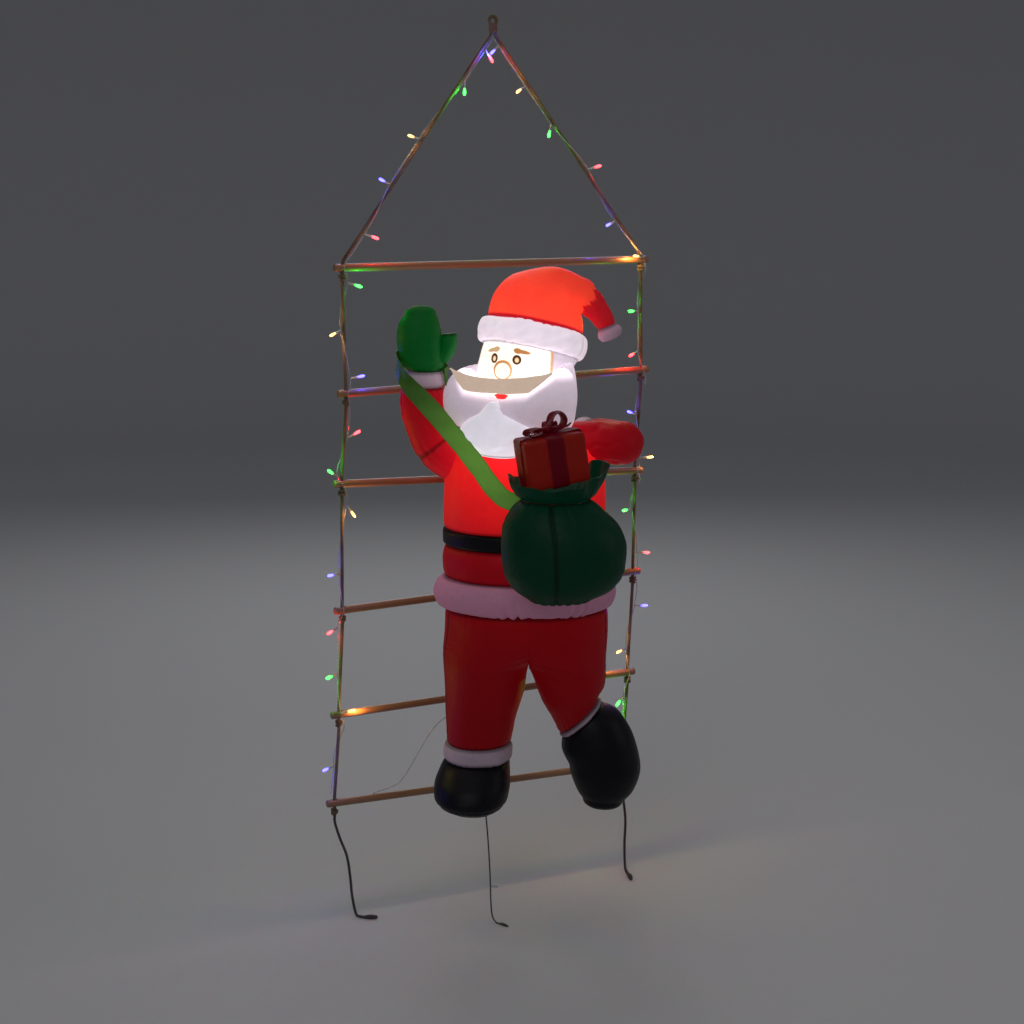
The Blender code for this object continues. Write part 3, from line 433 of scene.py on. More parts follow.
boot_line = piece_of("boot_line_cord", twisted(line, BOOT_LINE_DIAMETER, 2, BOOT_LINE_TWIST, 7, 10, swell))
dress(boot_line, TETHER_CORD, "tether_cord", "boot_line")

# Lead of the inner lamps
# A thin clear wire that comes out of the back of the standing leg and runs down to the lowest rung.
# It is clear plastic over two bright strands, so it looks pale and glossy.
CLEAR_WIRE, tree, shader = new_material("clear_wire", (0.66, 0.66, 0.60), 0.16)
strands = noise(tree, place_in(tree), 180.0, 2.0)
feed(shader, {
    "Base Color": blend(tree, strands, (0.34, 0.33, 0.27), (0.86, 0.87, 0.84)),
    "Coat Weight": 0.6, "Coat Roughness": 0.06, "Transmission Weight": 0.25,
})
LEAD_DIAMETER = 0.002
LEAD_END_X = -0.285
drop, shift, tilt = RUNG_HANG[-1]
rung_top = -drop + (LEAD_END_X - shift) * math.tan(math.radians(tilt)) + RUNG_DIAMETER / 2
end = Vector((LEAD_END_X, 0, rung_top + LEAD_DIAMETER / 2 + GAP))
start = FIGURE_PLACE @ Vector((-0.140, 0.066, 0.186))
line = smooth_route([
    start, start + Vector((-0.012, 0.014, 0.004)), start + Vector((-0.034, 0.026, -0.012)),
    start + Vector((-0.058, 0.034, -0.045)), start.lerp(end, 0.62) + Vector((0, 0.010, -0.030)),
    start.lerp(end, 0.80) + Vector((0, 0.006, -0.022)), end + Vector((0.022, 0.002, 0.004)), end,
], 80)
lead = piece_of("lamp_lead_wire", [round_tube(line, LEAD_DIAMETER / 2, 10)])
dress(lead, CLEAR_WIRE, "clear_wire", "lamp_lead")

# Hanging loop
# A small ring of the same hemp rope as the side ropes, closed by a whipping of nine turns of thin line
# that also binds the ends of both side ropes.
HEMP = fibre_material("hemp_rope", (0.27, 0.165, 0.085), (0.075, 0.042, 0.022), 330.0, 0.0009)
LOOP_EYE = 0.009
WHIPPING_LENGTH = 0.014
WHIPPING_TURNS = 9
LOOP_TWIST = 0.013
radius = (LOOP_EYE + ROPE_DIAMETER) / 2
turns = np.linspace(math.radians(-178), math.radians(178), 60)
ring = np.stack([radius * np.sin(turns), 0 * turns, -LOOP_EYE / 2 + radius * np.cos(turns)], 1)
whip_top = -LOOP_EYE - ROPE_DIAMETER / 2
whip_low = whip_top - WHIPPING_LENGTH
turns = np.linspace(0, 2 * math.pi * WHIPPING_TURNS, WHIPPING_TURNS * 28)
thread = WHIPPING_LENGTH / WHIPPING_TURNS / 2
coil = 1.2 * ROPE_DIAMETER - thread
wound = np.stack([
    coil * np.cos(turns), coil * np.sin(turns),
    np.linspace(whip_top - thread, whip_low + thread, len(turns)),
], 1)
core = [(0, 0, whip_top + 0.002), (0, 0, (whip_top + whip_low) / 2), (0, 0, whip_low)]
loop = piece_of("hanging_loop_rope", [
    *twisted(ring, ROPE_DIAMETER, 3, LOOP_TWIST, 8, 14),
    round_tube(wound, thread, 8),
    round_tube(core, coil, 20),
])
dress(loop, HEMP, "hemp_rope", "hanging_loop")

# Side ropes
# Three-strand hemp rope, threaded down through the drilled ends of the rungs. A knot under each rung
# carries it.
KNOT_DIAMETER = 0.0165
ROPE_TWIST = 0.021
KNOT_TURNS = 2.6
KNOT_TWIST = 0.016


def rope_spots(side):
    """The straight stretches of a side rope: it leaves the loop at a slant and hangs from rung to rung."""
    start = Vector((side * (ROPE_DIAMETER / 2 + 0.0006), 0, whip_low - GAP))
    spots = [start, start + Vector((0, 0, -0.006))]
    for hang in RUNG_HANG:
        hole = rung_end(*hang, side)
        spots.append(hole + Vector((0, 0, RUNG_DIAMETER / 2 + 0.003)))
        spots.append(hole - Vector((0, 0, RUNG_DIAMETER / 2 + 2 * GAP + KNOT_LENGTH)))
    return spots


def rounded(spots, cut=0.012):
    """The same line with each corner rounded."""
    line = [spots[0]]
    for a, b, c in zip(spots, spots[1:], spots[2:]):
        back = min(cut, (a - b).length * 0.45)
        onward = min(cut, (c - b).length * 0.45)
        before, after = b + (a - b).normalized() * back, b + (c - b).normalized() * onward
        for i in range(6):
            t = i / 5
            line.append(before * (1 - t) ** 2 + b * 2 * t * (1 - t) + after * t**2)
    return line + [spots[-1]]


for side, name in ((-1, "rope_left"), (1, "rope_right")):
    lots = twisted(rounded(rope_spots(side)), ROPE_DIAMETER, 3, ROPE_TWIST)
    for number, hang in enumerate(RUNG_HANG):
        top = rung_end(*hang, side) - Vector((0, 0, RUNG_DIAMETER / 2 + 2 * GAP))
        share = np.linspace(0, 1, 70)
        wrap = KNOT_DIAMETER / 2 - ROPE_DIAMETER * 0.36
        out = wrap * np.clip(np.minimum(share, 1 - share) / 0.10, 0.25, 1) ** 0.6
        turn = side * 2 * math.pi * KNOT_TURNS * share + number
        wobble = 0.0011 * np.sin(turn * 0.5 + number)
        drop = ROPE_DIAMETER * 0.4 + (KNOT_LENGTH - ROPE_DIAMETER * 0.8) * share
        path = np.stack([top.x + out * np.cos(turn), out * np.sin(turn), top.z - drop + wobble], 1)
        lots += twisted(path, ROPE_DIAMETER * 0.74, 3, KNOT_TWIST, 7, 10)
    rope = piece_of(name + "_hemp", lots)
    dress(rope, HEMP, "hemp_rope", name)

# Rungs
# Round wooden dowels with a satin varnish and eased ends, drilled near each end for the rope.
RUNG_OVERHANG = 0.017
HOLE_DIAMETER = 0.0093
END_EASE = 0.0015


def store(mesh, name, values):
    """Keeps a value or a vector for each point of a mesh, for its shader to read."""
    values = np.asarray(values, np.float32)
    kind, field = ("FLOAT", "value") if values.ndim == 1 else ("FLOAT_VECTOR", "vector")
    mesh.attributes.new(name, kind, "POINT").data.foreach_set(field, values.ravel())


def stored(tree, name, kind="Fac"):
    """What store kept on the mesh under this name."""
    return add_node(tree, "ShaderNodeAttribute", attribute_name=name).outputs[kind]


RUNG_WOOD, tree, shader = new_material("rung_wood", (0.30, 0.15, 0.075), 0.38)
stretched = add_node(tree, "ShaderNodeMapping", {
    "Vector": stored(tree, "grain_place", "Vector"), "Scale": (2.2, 90.0, 90.0)}).outputs[0]
grain = noise(tree, stretched, 1.6, 6.0, Roughness=0.62, Distortion=0.6)
broad = noise(tree, stretched, 0.35, 2.0)
ramp = add_node(tree, "ShaderNodeValToRGB", {"Fac": grain})
for spot, (place, colour) in enumerate((
    (0.28, (0.12, 0.050, 0.022, 1)), (0.48, (0.25, 0.120, 0.055, 1)), (0.72, (0.40, 0.220, 0.115, 1)),
)):
    if spot > 1:
        ramp.color_ramp.elements.new(place)
    ramp.color_ramp.elements[spot].position = place
    ramp.color_ramp.elements[spot].color = colour
feed(shader, {
    "Base Color": blend(tree, broad, ramp.outputs["Color"], (0.32, 0.165, 0.085)),
    "Roughness": remap(tree, grain, 0, 1, 0.50, 0.28),
    "Normal": relief(tree, grain, 0.0004, Strength=0.6),
    "Coat Weight": 0.35, "Coat Roughness": 0.2,
})

for number, (drop, shift, tilt) in enumerate(RUNG_HANG, 1):
    half = ROPE_SPAN / 2 + RUNG_OVERHANG
    radius = RUNG_DIAMETER / 2
    stops = [-half, -half + END_EASE * 0.4, -half + END_EASE]
    stops += list(np.linspace(-half + 4 * END_EASE, half - 4 * END_EASE, 60))
    stops += [half - END_EASE, half - END_EASE * 0.4, half]
    sizes = np.full(len(stops), radius)
    sizes[[0, -1]] = radius - END_EASE
    sizes[[1, -2]] = radius - END_EASE * 0.35
    path = np.stack([stops, np.zeros(len(stops)), np.zeros(len(stops))], 1)
    dowel = piece_of(f"rung_{number}_dowel", [round_tube(path, sizes, 40)])
    own = np.array([v.co for v in dowel.data.vertices]) + (number * 3.7, number * 0.41, number * 0.23)
    store(dowel.data, "grain_place", own)
    cutters = []
    for side in (-1, 1):
        bm = bmesh.new()
        bmesh.ops.create_cone(bm, cap_ends=True, segments=24, radius1=HOLE_DIAMETER / 2,
                              radius2=HOLE_DIAMETER / 2, depth=0.03)
        lean = Matrix.Rotation(math.radians(tilt), 4, "Y")
        bm.transform(Matrix.Translation((side * ROPE_SPAN / 2, 0, 0)) @ lean)
        cutter = add_object("drill", bpy.data.meshes.new("drill"))
        bm.to_mesh(cutter.data)
        bm.free()
        drill = dowel.modifiers.new("hole", "BOOLEAN")
        drill.object = cutter
        cutters.append(cutter)
    bpy.context.view_layer.update()
    drilled = bpy.data.meshes.new_from_object(dowel.evaluated_get(bpy.context.evaluated_depsgraph_get()))
    dowel.modifiers.clear()
    dowel.data = drilled
    for cutter in cutters:
        bpy.data.objects.remove(cutter)
    dowel.data.transform(
        Matrix.Translation((shift, 0, -drop)) @ Matrix.Rotation(math.radians(-tilt), 4, "Y")
    )
    dress(dowel, RUNG_WOOD, "rung_wood", f"rung_{number}")

# Light strings
# A clear wire is wound down each side rope and passes in front of every rung. Each small lamp stands
# out from it in a cone of clear plastic. The lamps are red, green, warm white and blue, and their light
# colours the rope and the rungs near them.
LAMP_WATTS = 0.16
WIRE_DIAMETER = 0.002
WIRE_TWIST = 0.016
BULB_DIAMETER = 0.0062
BULB_LENGTH = 0.030
WIRE_STANDOFF = 0.0070
STANDOFF_REACH = 0.030
SHORTEST_TURN = 0.070
# Each lamp: drop of its foot below the loop, and the way it points, with 0 to the right and 90 up
LAMPS_LEFT = (
    (0.058, -65), (0.122, -100), (0.245, 165), (0.334, 157), (0.424, -20), (0.524, -18),
    (0.618, 200), (0.716, 10), (0.836, 30), (0.915, 145), (0.974, -60), (1.116, 180),
    (1.228, 200), (1.326, 190), (1.408, 12), (1.522, 190),
)
LAMPS_RIGHT = (
    (0.050, 217), (0.129, 209), (0.206, 250), (0.306, 15), (0.407, 199), (0.488, 172),
    (0.603, 180), (0.690, 200), (0.829, 160), (0.924, 3), (1.037, 180), (1.134, -5),
    (1.255, 0), (1.350, 190), (1.458, 220), (1.560, 180),
)
# Each colour of lamp: material, colour of its light, strength
LAMP_LOOKS = {
    "R": ("lamp_red", (1.0, 0.012, 0.020), 10.0),
    "G": ("lamp_green", (0.012, 1.0, 0.035), 8.0),
    "W": ("lamp_warm_white", (1.0, 0.46, 0.12), 3.4),
    "B": ("lamp_blue", (0.055, 0.045, 1.0), 8.0),
}
# Outlines of a lamp's sleeve and of its clear cone, each a share of its length and of its radius
LAMP_SLEEVE = (
    (-0.02, 0.30), (0.0, 0.52), (0.10, 0.58), (0.30, 0.62), (0.48, 0.78), (0.52, 0.84), (0.535, 0.62),
)
LAMP_CONE = (
    (0.50, 0.60), (0.53, 0.70), (0.62, 0.80), (0.74, 0.96), (0.82, 1.0), (0.89, 0.92), (0.95, 0.70),
    (0.985, 0.40), (1.0, 0.12),
)
LAMP_MATERIALS = {}
for key, (name, colour, power) in LAMP_LOOKS.items():
    made, tree, shader = new_material(name, colour, 0.12)
    cloudy = remap(tree, noise(tree, place_in(tree), 700.0, 1.0), 0.35, 0.80, 0.0, 0.08)
    feed(shader, {
        "Emission Color": blend(tree, cloudy, colour, (1.0, 1.0, 1.0)), "Emission Strength": power,
        "Coat Weight": 0.8,
    })
    LAMP_MATERIALS[key] = made


def rope_at(side, drop):
    """The middle of a side rope at a drop below the loop."""
    spots = rope_spots(side)
    for high, low in zip(spots, spots[1:]):
        if -drop >= low.z or low is spots[-1]:
            return high.lerp(low, min(max((high.z + drop) / (high.z - low.z), 0), 1))


def across_rope(side, drop):
    """Square to the rope and to the view from the front, to the right."""
    along = rope_at(side, drop + 0.012) - rope_at(side, drop - 0.012)
    return along.normalized().cross(Vector((0, 1, 0)))


def wire_at(side, drop, angle):
    """A point of the wire beside the rope: 0 is to the right, -90 in front. It clears rungs and knots."""
    past = [drop + rung_end(*hang, side).z for hang in RUNG_HANG]
    near = min(max(-0.012 - p, p - RUNG_DIAMETER / 2 - KNOT_LENGTH - 0.004, 0) for p in past)
    past_rung = RUNG_DIAMETER / 2 + WIRE_DIAMETER + 0.001
    bulge = math.exp(-((near / STANDOFF_REACH) ** 2))
    reach = WIRE_STANDOFF + (past_rung - WIRE_STANDOFF) * bulge
    turn = math.radians(angle)
    beside = across_rope(side, drop) * math.cos(turn) + Vector((0, math.sin(turn), 0))
    return rope_at(side, drop) + beside * reach


def wire_turns(side, lamps):
    """Drops and angles that the wire passes through: in front of each rung, and beside each lamp."""
    rungs = [-rung_end(*hang, side).z for hang in RUNG_HANG]
    stops = []
    for drop, pointing in lamps:
        turn = math.radians(pointing)
        right = across_rope(side, drop).dot(Vector((math.cos(turn), 0, math.sin(turn)))) > 0
        on_rung = min(abs(drop - rung) for rung in rungs) < RUNG_DIAMETER * 0.9
        stops.append((drop, -90 if on_rung else -12 if right else -168))
    lamp_drops = [drop for drop, _ in lamps]
    stops += [(rung, -90) for rung in rungs[:-1] if min(abs(rung - d) for d in lamp_drops) > 0.009]
    stops.sort()
    wound = [stops[0]]
    for drop, angle in stops[1:]:
        before, last = wound[-1]
        step = (angle - last) % 360
        if step > 180 and drop - before < SHORTEST_TURN:
            step -= 360
        wound.append((drop, last + step))
    return wound


for name, side, lamps, colours in (
    ("light_string_left", -1, LAMPS_LEFT, "RGWBRGWBRGWBRGWB"),
    ("light_string_right", 1, LAMPS_RIGHT, "BWGRBWGRBWGRBWGR"),
):
    wound = wire_turns(side, lamps)
    first, last = -rope_spots(side)[0].z + 0.010, -rung_end(*RUNG_HANG[-1], side).z - 0.020
    stops = [(first, wound[0][1]), *wound, (last, wound[-1][1])]
    run = np.arange(first, last, 0.003)
    angles = np.interp(run, *zip(*stops))
    line = np.array([wire_at(side, drop, angle) for drop, angle in zip(run, angles)])
    line[1:-1] = (line[:-2] + 2 * line[1:-1] + line[2:]) / 4
    lots = twisted(line, WIRE_DIAMETER, 2, WIRE_TWIST, 6, 8)
    lenses, spots = [], []
    for (drop, pointing), colour in zip(lamps, colours):
        beside = next(turn for stop, turn in wound if stop == drop)
        foot = wire_at(side, drop, beside)
        turn = math.radians(pointing)
        out = Vector((math.cos(turn), -0.3, math.sin(turn))).normalized()
        for shape, kept in ((LAMP_SLEEVE, lots), (LAMP_CONE, lenses)):
            path = [foot + out * BULB_LENGTH * reach for reach, _ in shape]
            kept.append(round_tube(path, [BULB_DIAMETER / 2 * size for _, size in shape], 14))
        spots.append("RGWB".index(colour))
        shine = add_object("lamp_shine", bpy.data.lights.new("lamp_shine", "POINT"))
        shine.data.color = LAMP_LOOKS[colour][1]
        shine.data.energy = LAMP_WATTS
        shine.data.shadow_soft_size = BULB_DIAMETER / 2
        shine.location = foot + out * (BULB_LENGTH + BULB_DIAMETER)
    string = piece_of(name + "_wire", lots)
    dress(string, CLEAR_WIRE, "clear_wire", name)
    lit = piece_of(name + "_lamps", lenses)
    for key in "RGWB":
        lit.data.materials.append(LAMP_MATERIALS[key])
    lit.data.polygons.foreach_set("material_index", np.repeat(spots, len(lenses[0][1])))
    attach(lit, "root")

# Sewn sections
# The figure is sewn from sections of thin coated nylon and blown up. Each section swells between its
# seams, and short puckers run away from the seams, where the double cloth also looks darker. The
# stations of each section are shares of the figure's height, with 1000 to the metre.
SHARE = 0.001
FACE_TURN = -26
FACE_PLACE = FIGURE_PLACE @ Matrix.Rotation(math.radians(FACE_TURN), 4, "Z")
SEAM_GAP = GAP / SHARE


def steady(knots, values, at):
    """Smooth curves through the rows of values that never swing past them."""
    step = np.diff(knots)[:, None]
    slope = np.diff(values, axis=0) / step
    before, after = slope[:-1], slope[1:]
    same = before * after > 0
    near, far = 2 * step[1:] + step[:-1], step[1:] + 2 * step[:-1]
    mean = (near + far) / (near / np.where(same, before, 1) + far / np.where(same, after, 1))
    slope_at = np.concatenate([slope[:1], np.where(same, mean, 0), slope[-1:]])
    part = np.clip(np.searchsorted(knots, at, side="right") - 1, 0, len(step) - 1)
    h = step[part]
    t = (at - knots[part])[:, None] / h
    return (
        values[part] * (2 * t**3 - 3 * t**2 + 1) + values[part + 1] * (3 * t**2 - 2 * t**3)
        + slope_at[part] * h * (t**3 - 2 * t**2 + t) + slope_at[part + 1] * h * (t**3 - t**2)
    )


def placed(place, points):
    """An array of points, moved by a matrix."""
    world = np.array(place)
    return points @ world[:3, :3].T + world[:3, 3]


def unit(vectors):
    return vectors / np.maximum(np.linalg.norm(vectors, axis=-1, keepdims=True), 1e-12)


def upright(rows):
    """The across and back directions of rings that look up, each with a tilt to +X and a lean to +Y."""
    tilt, lean = np.radians(rows[:, 5]), np.radians(rows[:, 6])
    normal = np.stack([np.sin(tilt) * np.cos(lean), np.sin(lean), np.cos(tilt) * np.cos(lean)], 1)
    back = unit(np.array((0, 1, 0)) - normal * normal[:, 1:2])
    return np.cross(back, normal), back


def level(rows):
    """The same for rings whose axis lies level, each heading at an angle from +X."""
    heading = np.radians(rows[:, 5])
    normal = np.stack([np.cos(heading), np.sin(heading), 0 * heading], 1)
    up = np.broadcast_to(np.array((0.0, 0.0, 1.0)), normal.shape)
    return np.cross(up, normal), up


def ripple(points, size, seed):
    """Soft random swells of about this size in metres, between -1 and 1."""
    rng = np.random.default_rng(seed)
    total = 0
    for _ in range(14):
        way = unit(rng.normal(size=3)) * 2 * math.pi / (size * rng.uniform(0.75, 1.5))
        total = total + np.sin(points @ way + rng.uniform(0, 2 * math.pi))
    return total / 5.5


class Cloth:
    """The grid of points of a section, with the height of its folds and the place of its seams, whose mark also
    paints shade past the cap's crease.
    """

    def __init__(self, points, turn, start, end, seed):
        self.points, self.turn, self.start, self.end = points, turn, start, end
        self.radius = np.linalg.norm(points - points.mean(axis=1, keepdims=True), axis=2).mean(1)[:, None]
        self.rise = np.zeros(points.shape[:2])
        self.seam_and_shade = np.zeros(points.shape[:2])
        self.seed = seed

    def round_from(self, turn):
        """Distance round the section from an angle, with a sign."""
        return ((self.turn - turn + 180) % 360 - 180) * math.pi / 180 * self.radius

    def away(self, end):
        return np.abs(self.start if end == "start" else self.end)

    def puckers_at(self, end, spacing=0.020, reach=0.035, depth=0.0024, pinch=0.0030):
        """The pulled-in seam at one end, and the short folds that run away from it."""
        self.seed += 1
        rng = np.random.default_rng(self.seed)
        away = self.away(end)
        turn = np.radians(self.turn)
        count = max(round(2 * math.pi * float(self.radius[0 if end == "start" else -1, 0]) / spacing), 6)
        swing = sum(rng.uniform(0.3, 0.9) * np.sin(k * turn + rng.uniform(0, 6.3)) for k in (2, 3, 5, 7))
        uneven = sum(np.sin(k * turn + rng.uniform(0, 6.3)) for k in (4, 7, 11, 17)) / 4
        patch = sum(np.sin(k * turn + rng.uniform(0, 6.3)) for k in (1, 3, 6, 9))
        kept = np.clip(0.45 + 0.40 * patch, 0.06, 1)
        long = reach * (1 + 0.75 * uneven)
        wave = (0.5 + 0.5 * np.cos(count * turn + swing * 1.6)) ** 2
        fine = (0.5 + 0.5 * np.cos((count * 2 + 3) * turn - swing)) ** 2
        fade = np.exp(-((away / np.maximum(long, 0.006)) ** 1.3))
        fine_fade = np.exp(-((away / (0.35 * reach)) ** 1.3))
        self.rise -= kept * depth * (1 + 0.5 * uneven) * (wave - 0.35) * fade
        self.rise -= 0.35 * kept * depth * fine * fine_fade
        self.rise -= pinch * np.exp(-((away / 0.0065) ** 1.4))
        self.seam_and_shade = np.maximum(self.seam_and_shade, np.clip(1.5 - away / 0.0045, 0, 1))

    def seam_down(self, turn, first=0.0, last=9.9, spacing=0.022, reach=0.022, depth=0.0017, pinch=0.0016,
                  seam_and_shade=1.0):
        """A seam that runs the length of the section at an angle, from first to last."""
        self.seed += 1
        rng = np.random.default_rng(self.seed)
        off = self.round_from(turn)
        here = np.clip((self.start - first) / 0.01, 0, 1) * np.clip((last - self.start) / 0.01, 0, 1)
        phase = 2 * math.pi * self.start / spacing + 1.3 * np.sin(self.start / 0.021 + rng.uniform(0, 6))
        phase = phase + np.where(off > 0, 1.1, -0.4) + 9 * np.abs(off) * np.sin(self.start / 0.05)
        long = reach * (1 + 0.6 * np.sin(self.start / 0.017 + np.sign(off) + rng.uniform(0, 6)))
        kept = np.clip(0.5 + 0.5 * np.sin(self.start / 0.037 + rng.uniform(0, 6)), 0.1, 1)
        wave = (0.5 + 0.5 * np.cos(phase)) ** 2
        fade = np.exp(-((np.abs(off) / np.maximum(long, 0.004)) ** 1.3))
        self.rise -= here * kept * depth * (wave - 0.35) * fade
        self.rise -= here * pinch * np.exp(-((off / 0.0035) ** 2))
        self.seam_and_shade = np.maximum(self.seam_and_shade, seam_and_shade * here * np.clip(1.6 - np.abs(off) / 0.0035, 0, 1))

    def crease(self, begin, finish, width=0.006, depth=0.003):
        """A fold between two places, each an angle and a distance from the start."""
        ax, ay = self.round_from(begin[0]), self.start - begin[1]
        middle = float(self.radius.mean())
        bx = ((finish[0] - begin[0] + 180) % 360 - 180) * math.pi / 180 * middle
        by = finish[1] - begin[1]
        share = np.clip((ax * bx + ay * by) / (bx * bx + by * by), 0, 1)
        off = np.hypot(ax - share * bx, ay - share * by)
        side = np.sign(ax * by - ay * bx)
        fade = np.sin(np.clip(share, 0.03, 0.97) * math.pi) ** 0.6
        self.rise -= depth * fade * np.exp(-((off / width) ** 2))
        self.rise += 0.55 * depth * fade * side * off / width * np.exp(-((off / (1.7 * width)) ** 2))

    def swells(self, size, depth):
        """Broad unevenness, as cloth has that isn't cut to an even round."""
        self.seed += 1
        self.rise += depth * ripple(self.points, size, self.seed)

    def wrinkles(self, size, depth, near=None, reach=0.05):
        """Long thin random folds with sharp tops, everywhere or only near one end."""
        self.seed += 1
        one = ripple(self.points, size, self.seed)
        fold = np.exp(-((one / 0.22) ** 2)) * (0.5 + 0.5 * ripple(self.points, 3 * size, self.seed + 50))
        fade = 1 if near is None else np.exp(-self.away(near) / reach)
        self.rise += depth * fade * fold


def lofted(name, place, stations, frame=upright, power=2.0, domes=(0, 0), folds=None, keep=None,
           across=0.0026, along=0.0032, seed=1):
    """A section through stations, with domes on its ends and folds pressed into its grid."""
    rows = np.array([(*station, 0, 0)[:7] for station in stations], float)
    rows[:, :5] *= SHARE
    run = run_of(rows[:, :5])
    at = np.linspace(0, run[-1], max(math.ceil(run[-1] / along), 4) + 1)
    fine = steady(run, rows, at)
    one, two = frame(fine)
    axis = np.cross(one, two)
    if (fine[1, :3] - fine[0, :3]) @ axis[0] < 0:
        axis = -axis
    centre, width, depth, size = fine[:, :3], fine[:, 3], fine[:, 4], np.ones(len(at))
    start, end = at.copy(), run[-1] - at
    for length, last in ((domes[0] * SHARE, False), (domes[1] * SHARE, True)):
        if not length:
            continue
        i = -1 if last else 0
        quarter = max(float(max(width[i], depth[i])), length)
        steps = max(int(1.2 * quarter / along), 5)
        rounds = np.radians(np.linspace(0, 87, steps + 1)[1:])
        out = axis[i] * (1 if last else -1)
        extra = centre[i] + out * (length * np.sin(rounds))[:, None]
        far = quarter * rounds
        if not last:
            extra, rounds, far = extra[::-1], rounds[::-1], far[::-1]

        def grown(old, new, last=last):
            return np.concatenate([old, new] if last else [new, old])

        one, two = grown(one, np.repeat(one[[i]], steps, 0)), grown(two, np.repeat(two[[i]], steps, 0))
        axis = grown(axis, np.repeat(axis[[i]], steps, 0))
        width, depth = grown(width, np.full(steps, width[i])), grown(depth, np.full(steps, depth[i]))
        centre, size = grown(centre, extra), grown(size, np.cos(rounds))
        start = grown(start, start[i] + far if last else -far)
        end = grown(end, -far if last else end[0] + far)
    longest = math.pi * float((width + depth).max())
    count = max(2 * math.ceil(longest / across / 2), 24)
    turn = np.linspace(0, 2 * math.pi, count, endpoint=False)
    c, s = np.cos(turn), np.sin(turn)
    u = np.sign(c) * np.abs(c) ** (2 / power)
    v = np.sign(s) * np.abs(s) ** (2 / power)
    points = (
        centre[:, None] + one[:, None] * (u[None] * (width * size)[:, None])[..., None]
        + two[:, None] * (v[None] * (depth * size)[:, None])[..., None]
    )
    cloth = Cloth(points, np.degrees(turn)[None], start[:, None], end[:, None], seed * 100)
    if folds:
        folds(cloth)
    round_way = np.roll(points, -1, 1) - np.roll(points, 1, 1)
    normal = unit(np.cross(round_way, np.gradient(points, axis=0)))
    if ((points - centre[:, None]) * normal).sum() < 0:
        normal = -normal
    points = points + normal * (cloth.rise * np.clip(size, 0.25, 1)[:, None])[..., None]
    if keep:
        points = keep(points)
    faces = ring_faces(len(points), count, capped=False)
    quads = np.array(faces)
    # Each end closes in a fan of triangles round its middle
    last, low, high = (len(points) - 1) * count, len(points) * count, len(points) * count + 1
    faces += [(low, (i + 1) % count, i) for i in range(count)]
    faces += [(high, last + i, last + (i + 1) % count) for i in range(count)]
    flat = np.concatenate([points.reshape(-1, 3), [points[0].mean(0), points[-1].mean(0)]])
    if (np.cross(flat[quads[:, 1]] - flat[quads[:, 0]], flat[quads[:, 3]] - flat[quads[:, 0]])
            * normal[:-1].reshape(-1, 3)).sum() < 0:
        faces = [tuple(face)[::-1] for face in faces]
    mesh = bpy.data.meshes.new(name)
    mesh.from_pydata(placed(place, flat).tolist(), [], faces)
    mesh.shade_smooth()
    store(mesh, "seam", np.append(cloth.seam_and_shade.ravel(), (0, 1)))
    return add_object(name, mesh)


# Coated taffeta: a fine plain weave, small crackling creases, and seams of darker double cloth. The seam mark
# also darkens the cap past its crease, as painted shade.
taffeta, given, out = new_group(
    "taffeta",
    [("Colour", "Color", (0.5, 0, 0, 1)), ("Seam", "Float", 0.0), ("Gloss", "Float", 0.45)],
    [("Colour", "Color"), ("Roughness", "Float"), ("Height", "Float")],
)
where = place_in(taffeta)
warped = add_node(taffeta, "ShaderNodeTexNoise", {"Vector": where, "Scale": 14.0, "Detail": 2.0})
pushed = add_node(taffeta, "ShaderNodeVectorMath", {
    0: warped.outputs["Color"], 1: (0.05, 0.05, 0.05)}, operation="MULTIPLY")
moved = add_node(taffeta, "ShaderNodeVectorMath", {0: where, 1: pushed.outputs[0]}, operation="ADD")
crackle = add_node(taffeta, "ShaderNodeTexVoronoi", {
    "Vector": moved.outputs[0], "Scale": 46.0, "Randomness": 1.0}, feature="SMOOTH_F1").outputs["Distance"]
crumple = noise(taffeta, where, 75.0, 5.0, Roughness=0.62, Distortion=0.5)
weave = noise(taffeta, where, 1400.0, 1.0)
uneven = remap(taffeta, crumple, 0.3, 0.7, 0.94, 1.05)
tone = maths(taffeta, "MULTIPLY", uneven, remap(taffeta, given["Seam"], 0, 1, 1.0, 0.50))
toned = add_node(taffeta, "ShaderNodeVectorMath", {0: given["Colour"], "Scale": tone}, operation="SCALE")
creases = maths(taffeta, "MULTIPLY_ADD", crackle, 0.55, crumple)
feed(out, {
    "Colour": toned.outputs[0],
    "Roughness": maths(taffeta, "MULTIPLY_ADD", crumple, 0.22, given["Gloss"]),
    "Height": maths(taffeta, "MULTIPLY_ADD", weave, 0.07, creases),
})

# The glow of the lamps inside: one in the head and one in the chest, dimmer away from each, with
# seams and small uneven places in the cloth
HEAD_LAMP = FIGURE_PLACE @ Vector((0.010, -0.010, 0.985))
CHEST_LAMP = FIGURE_PLACE @ Vector((0.0, -0.02, 0.755))
glow, given, out = new_group(
    "inner_lamp",
    [("Tint", "Color", (1, 0.1, 0.1, 1)), ("Seam", "Float", 0.0), ("Head", "Float", 1.0),
     ("Chest", "Float", 1.0), ("Reach", "Float", 0.16), ("Least", "Float", 0.02)],
    [("Emission Color", "Color")],
)
where = place_in(glow)
lights = []
for lamp_at, label in ((HEAD_LAMP, "Head"), (CHEST_LAMP, "Chest")):
    far = add_node(glow, "ShaderNodeVectorMath", {0: where, 1: tuple(lamp_at)}, operation="DISTANCE")
    fourth = maths(glow, "POWER", maths(glow, "DIVIDE", far.outputs["Value"], given["Reach"]), 4.0)
    lights.append(maths(glow, "DIVIDE", given[label], maths(glow, "ADD", fourth, 1.0)))
inside = maths(glow, "ADD", maths(glow, "ADD", *lights), given["Least"])
patchy = remap(glow, noise(glow, where, 30.0, 4.0, Roughness=0.6, Distortion=0.8), 0.3, 0.7, 0.92, 1.06)
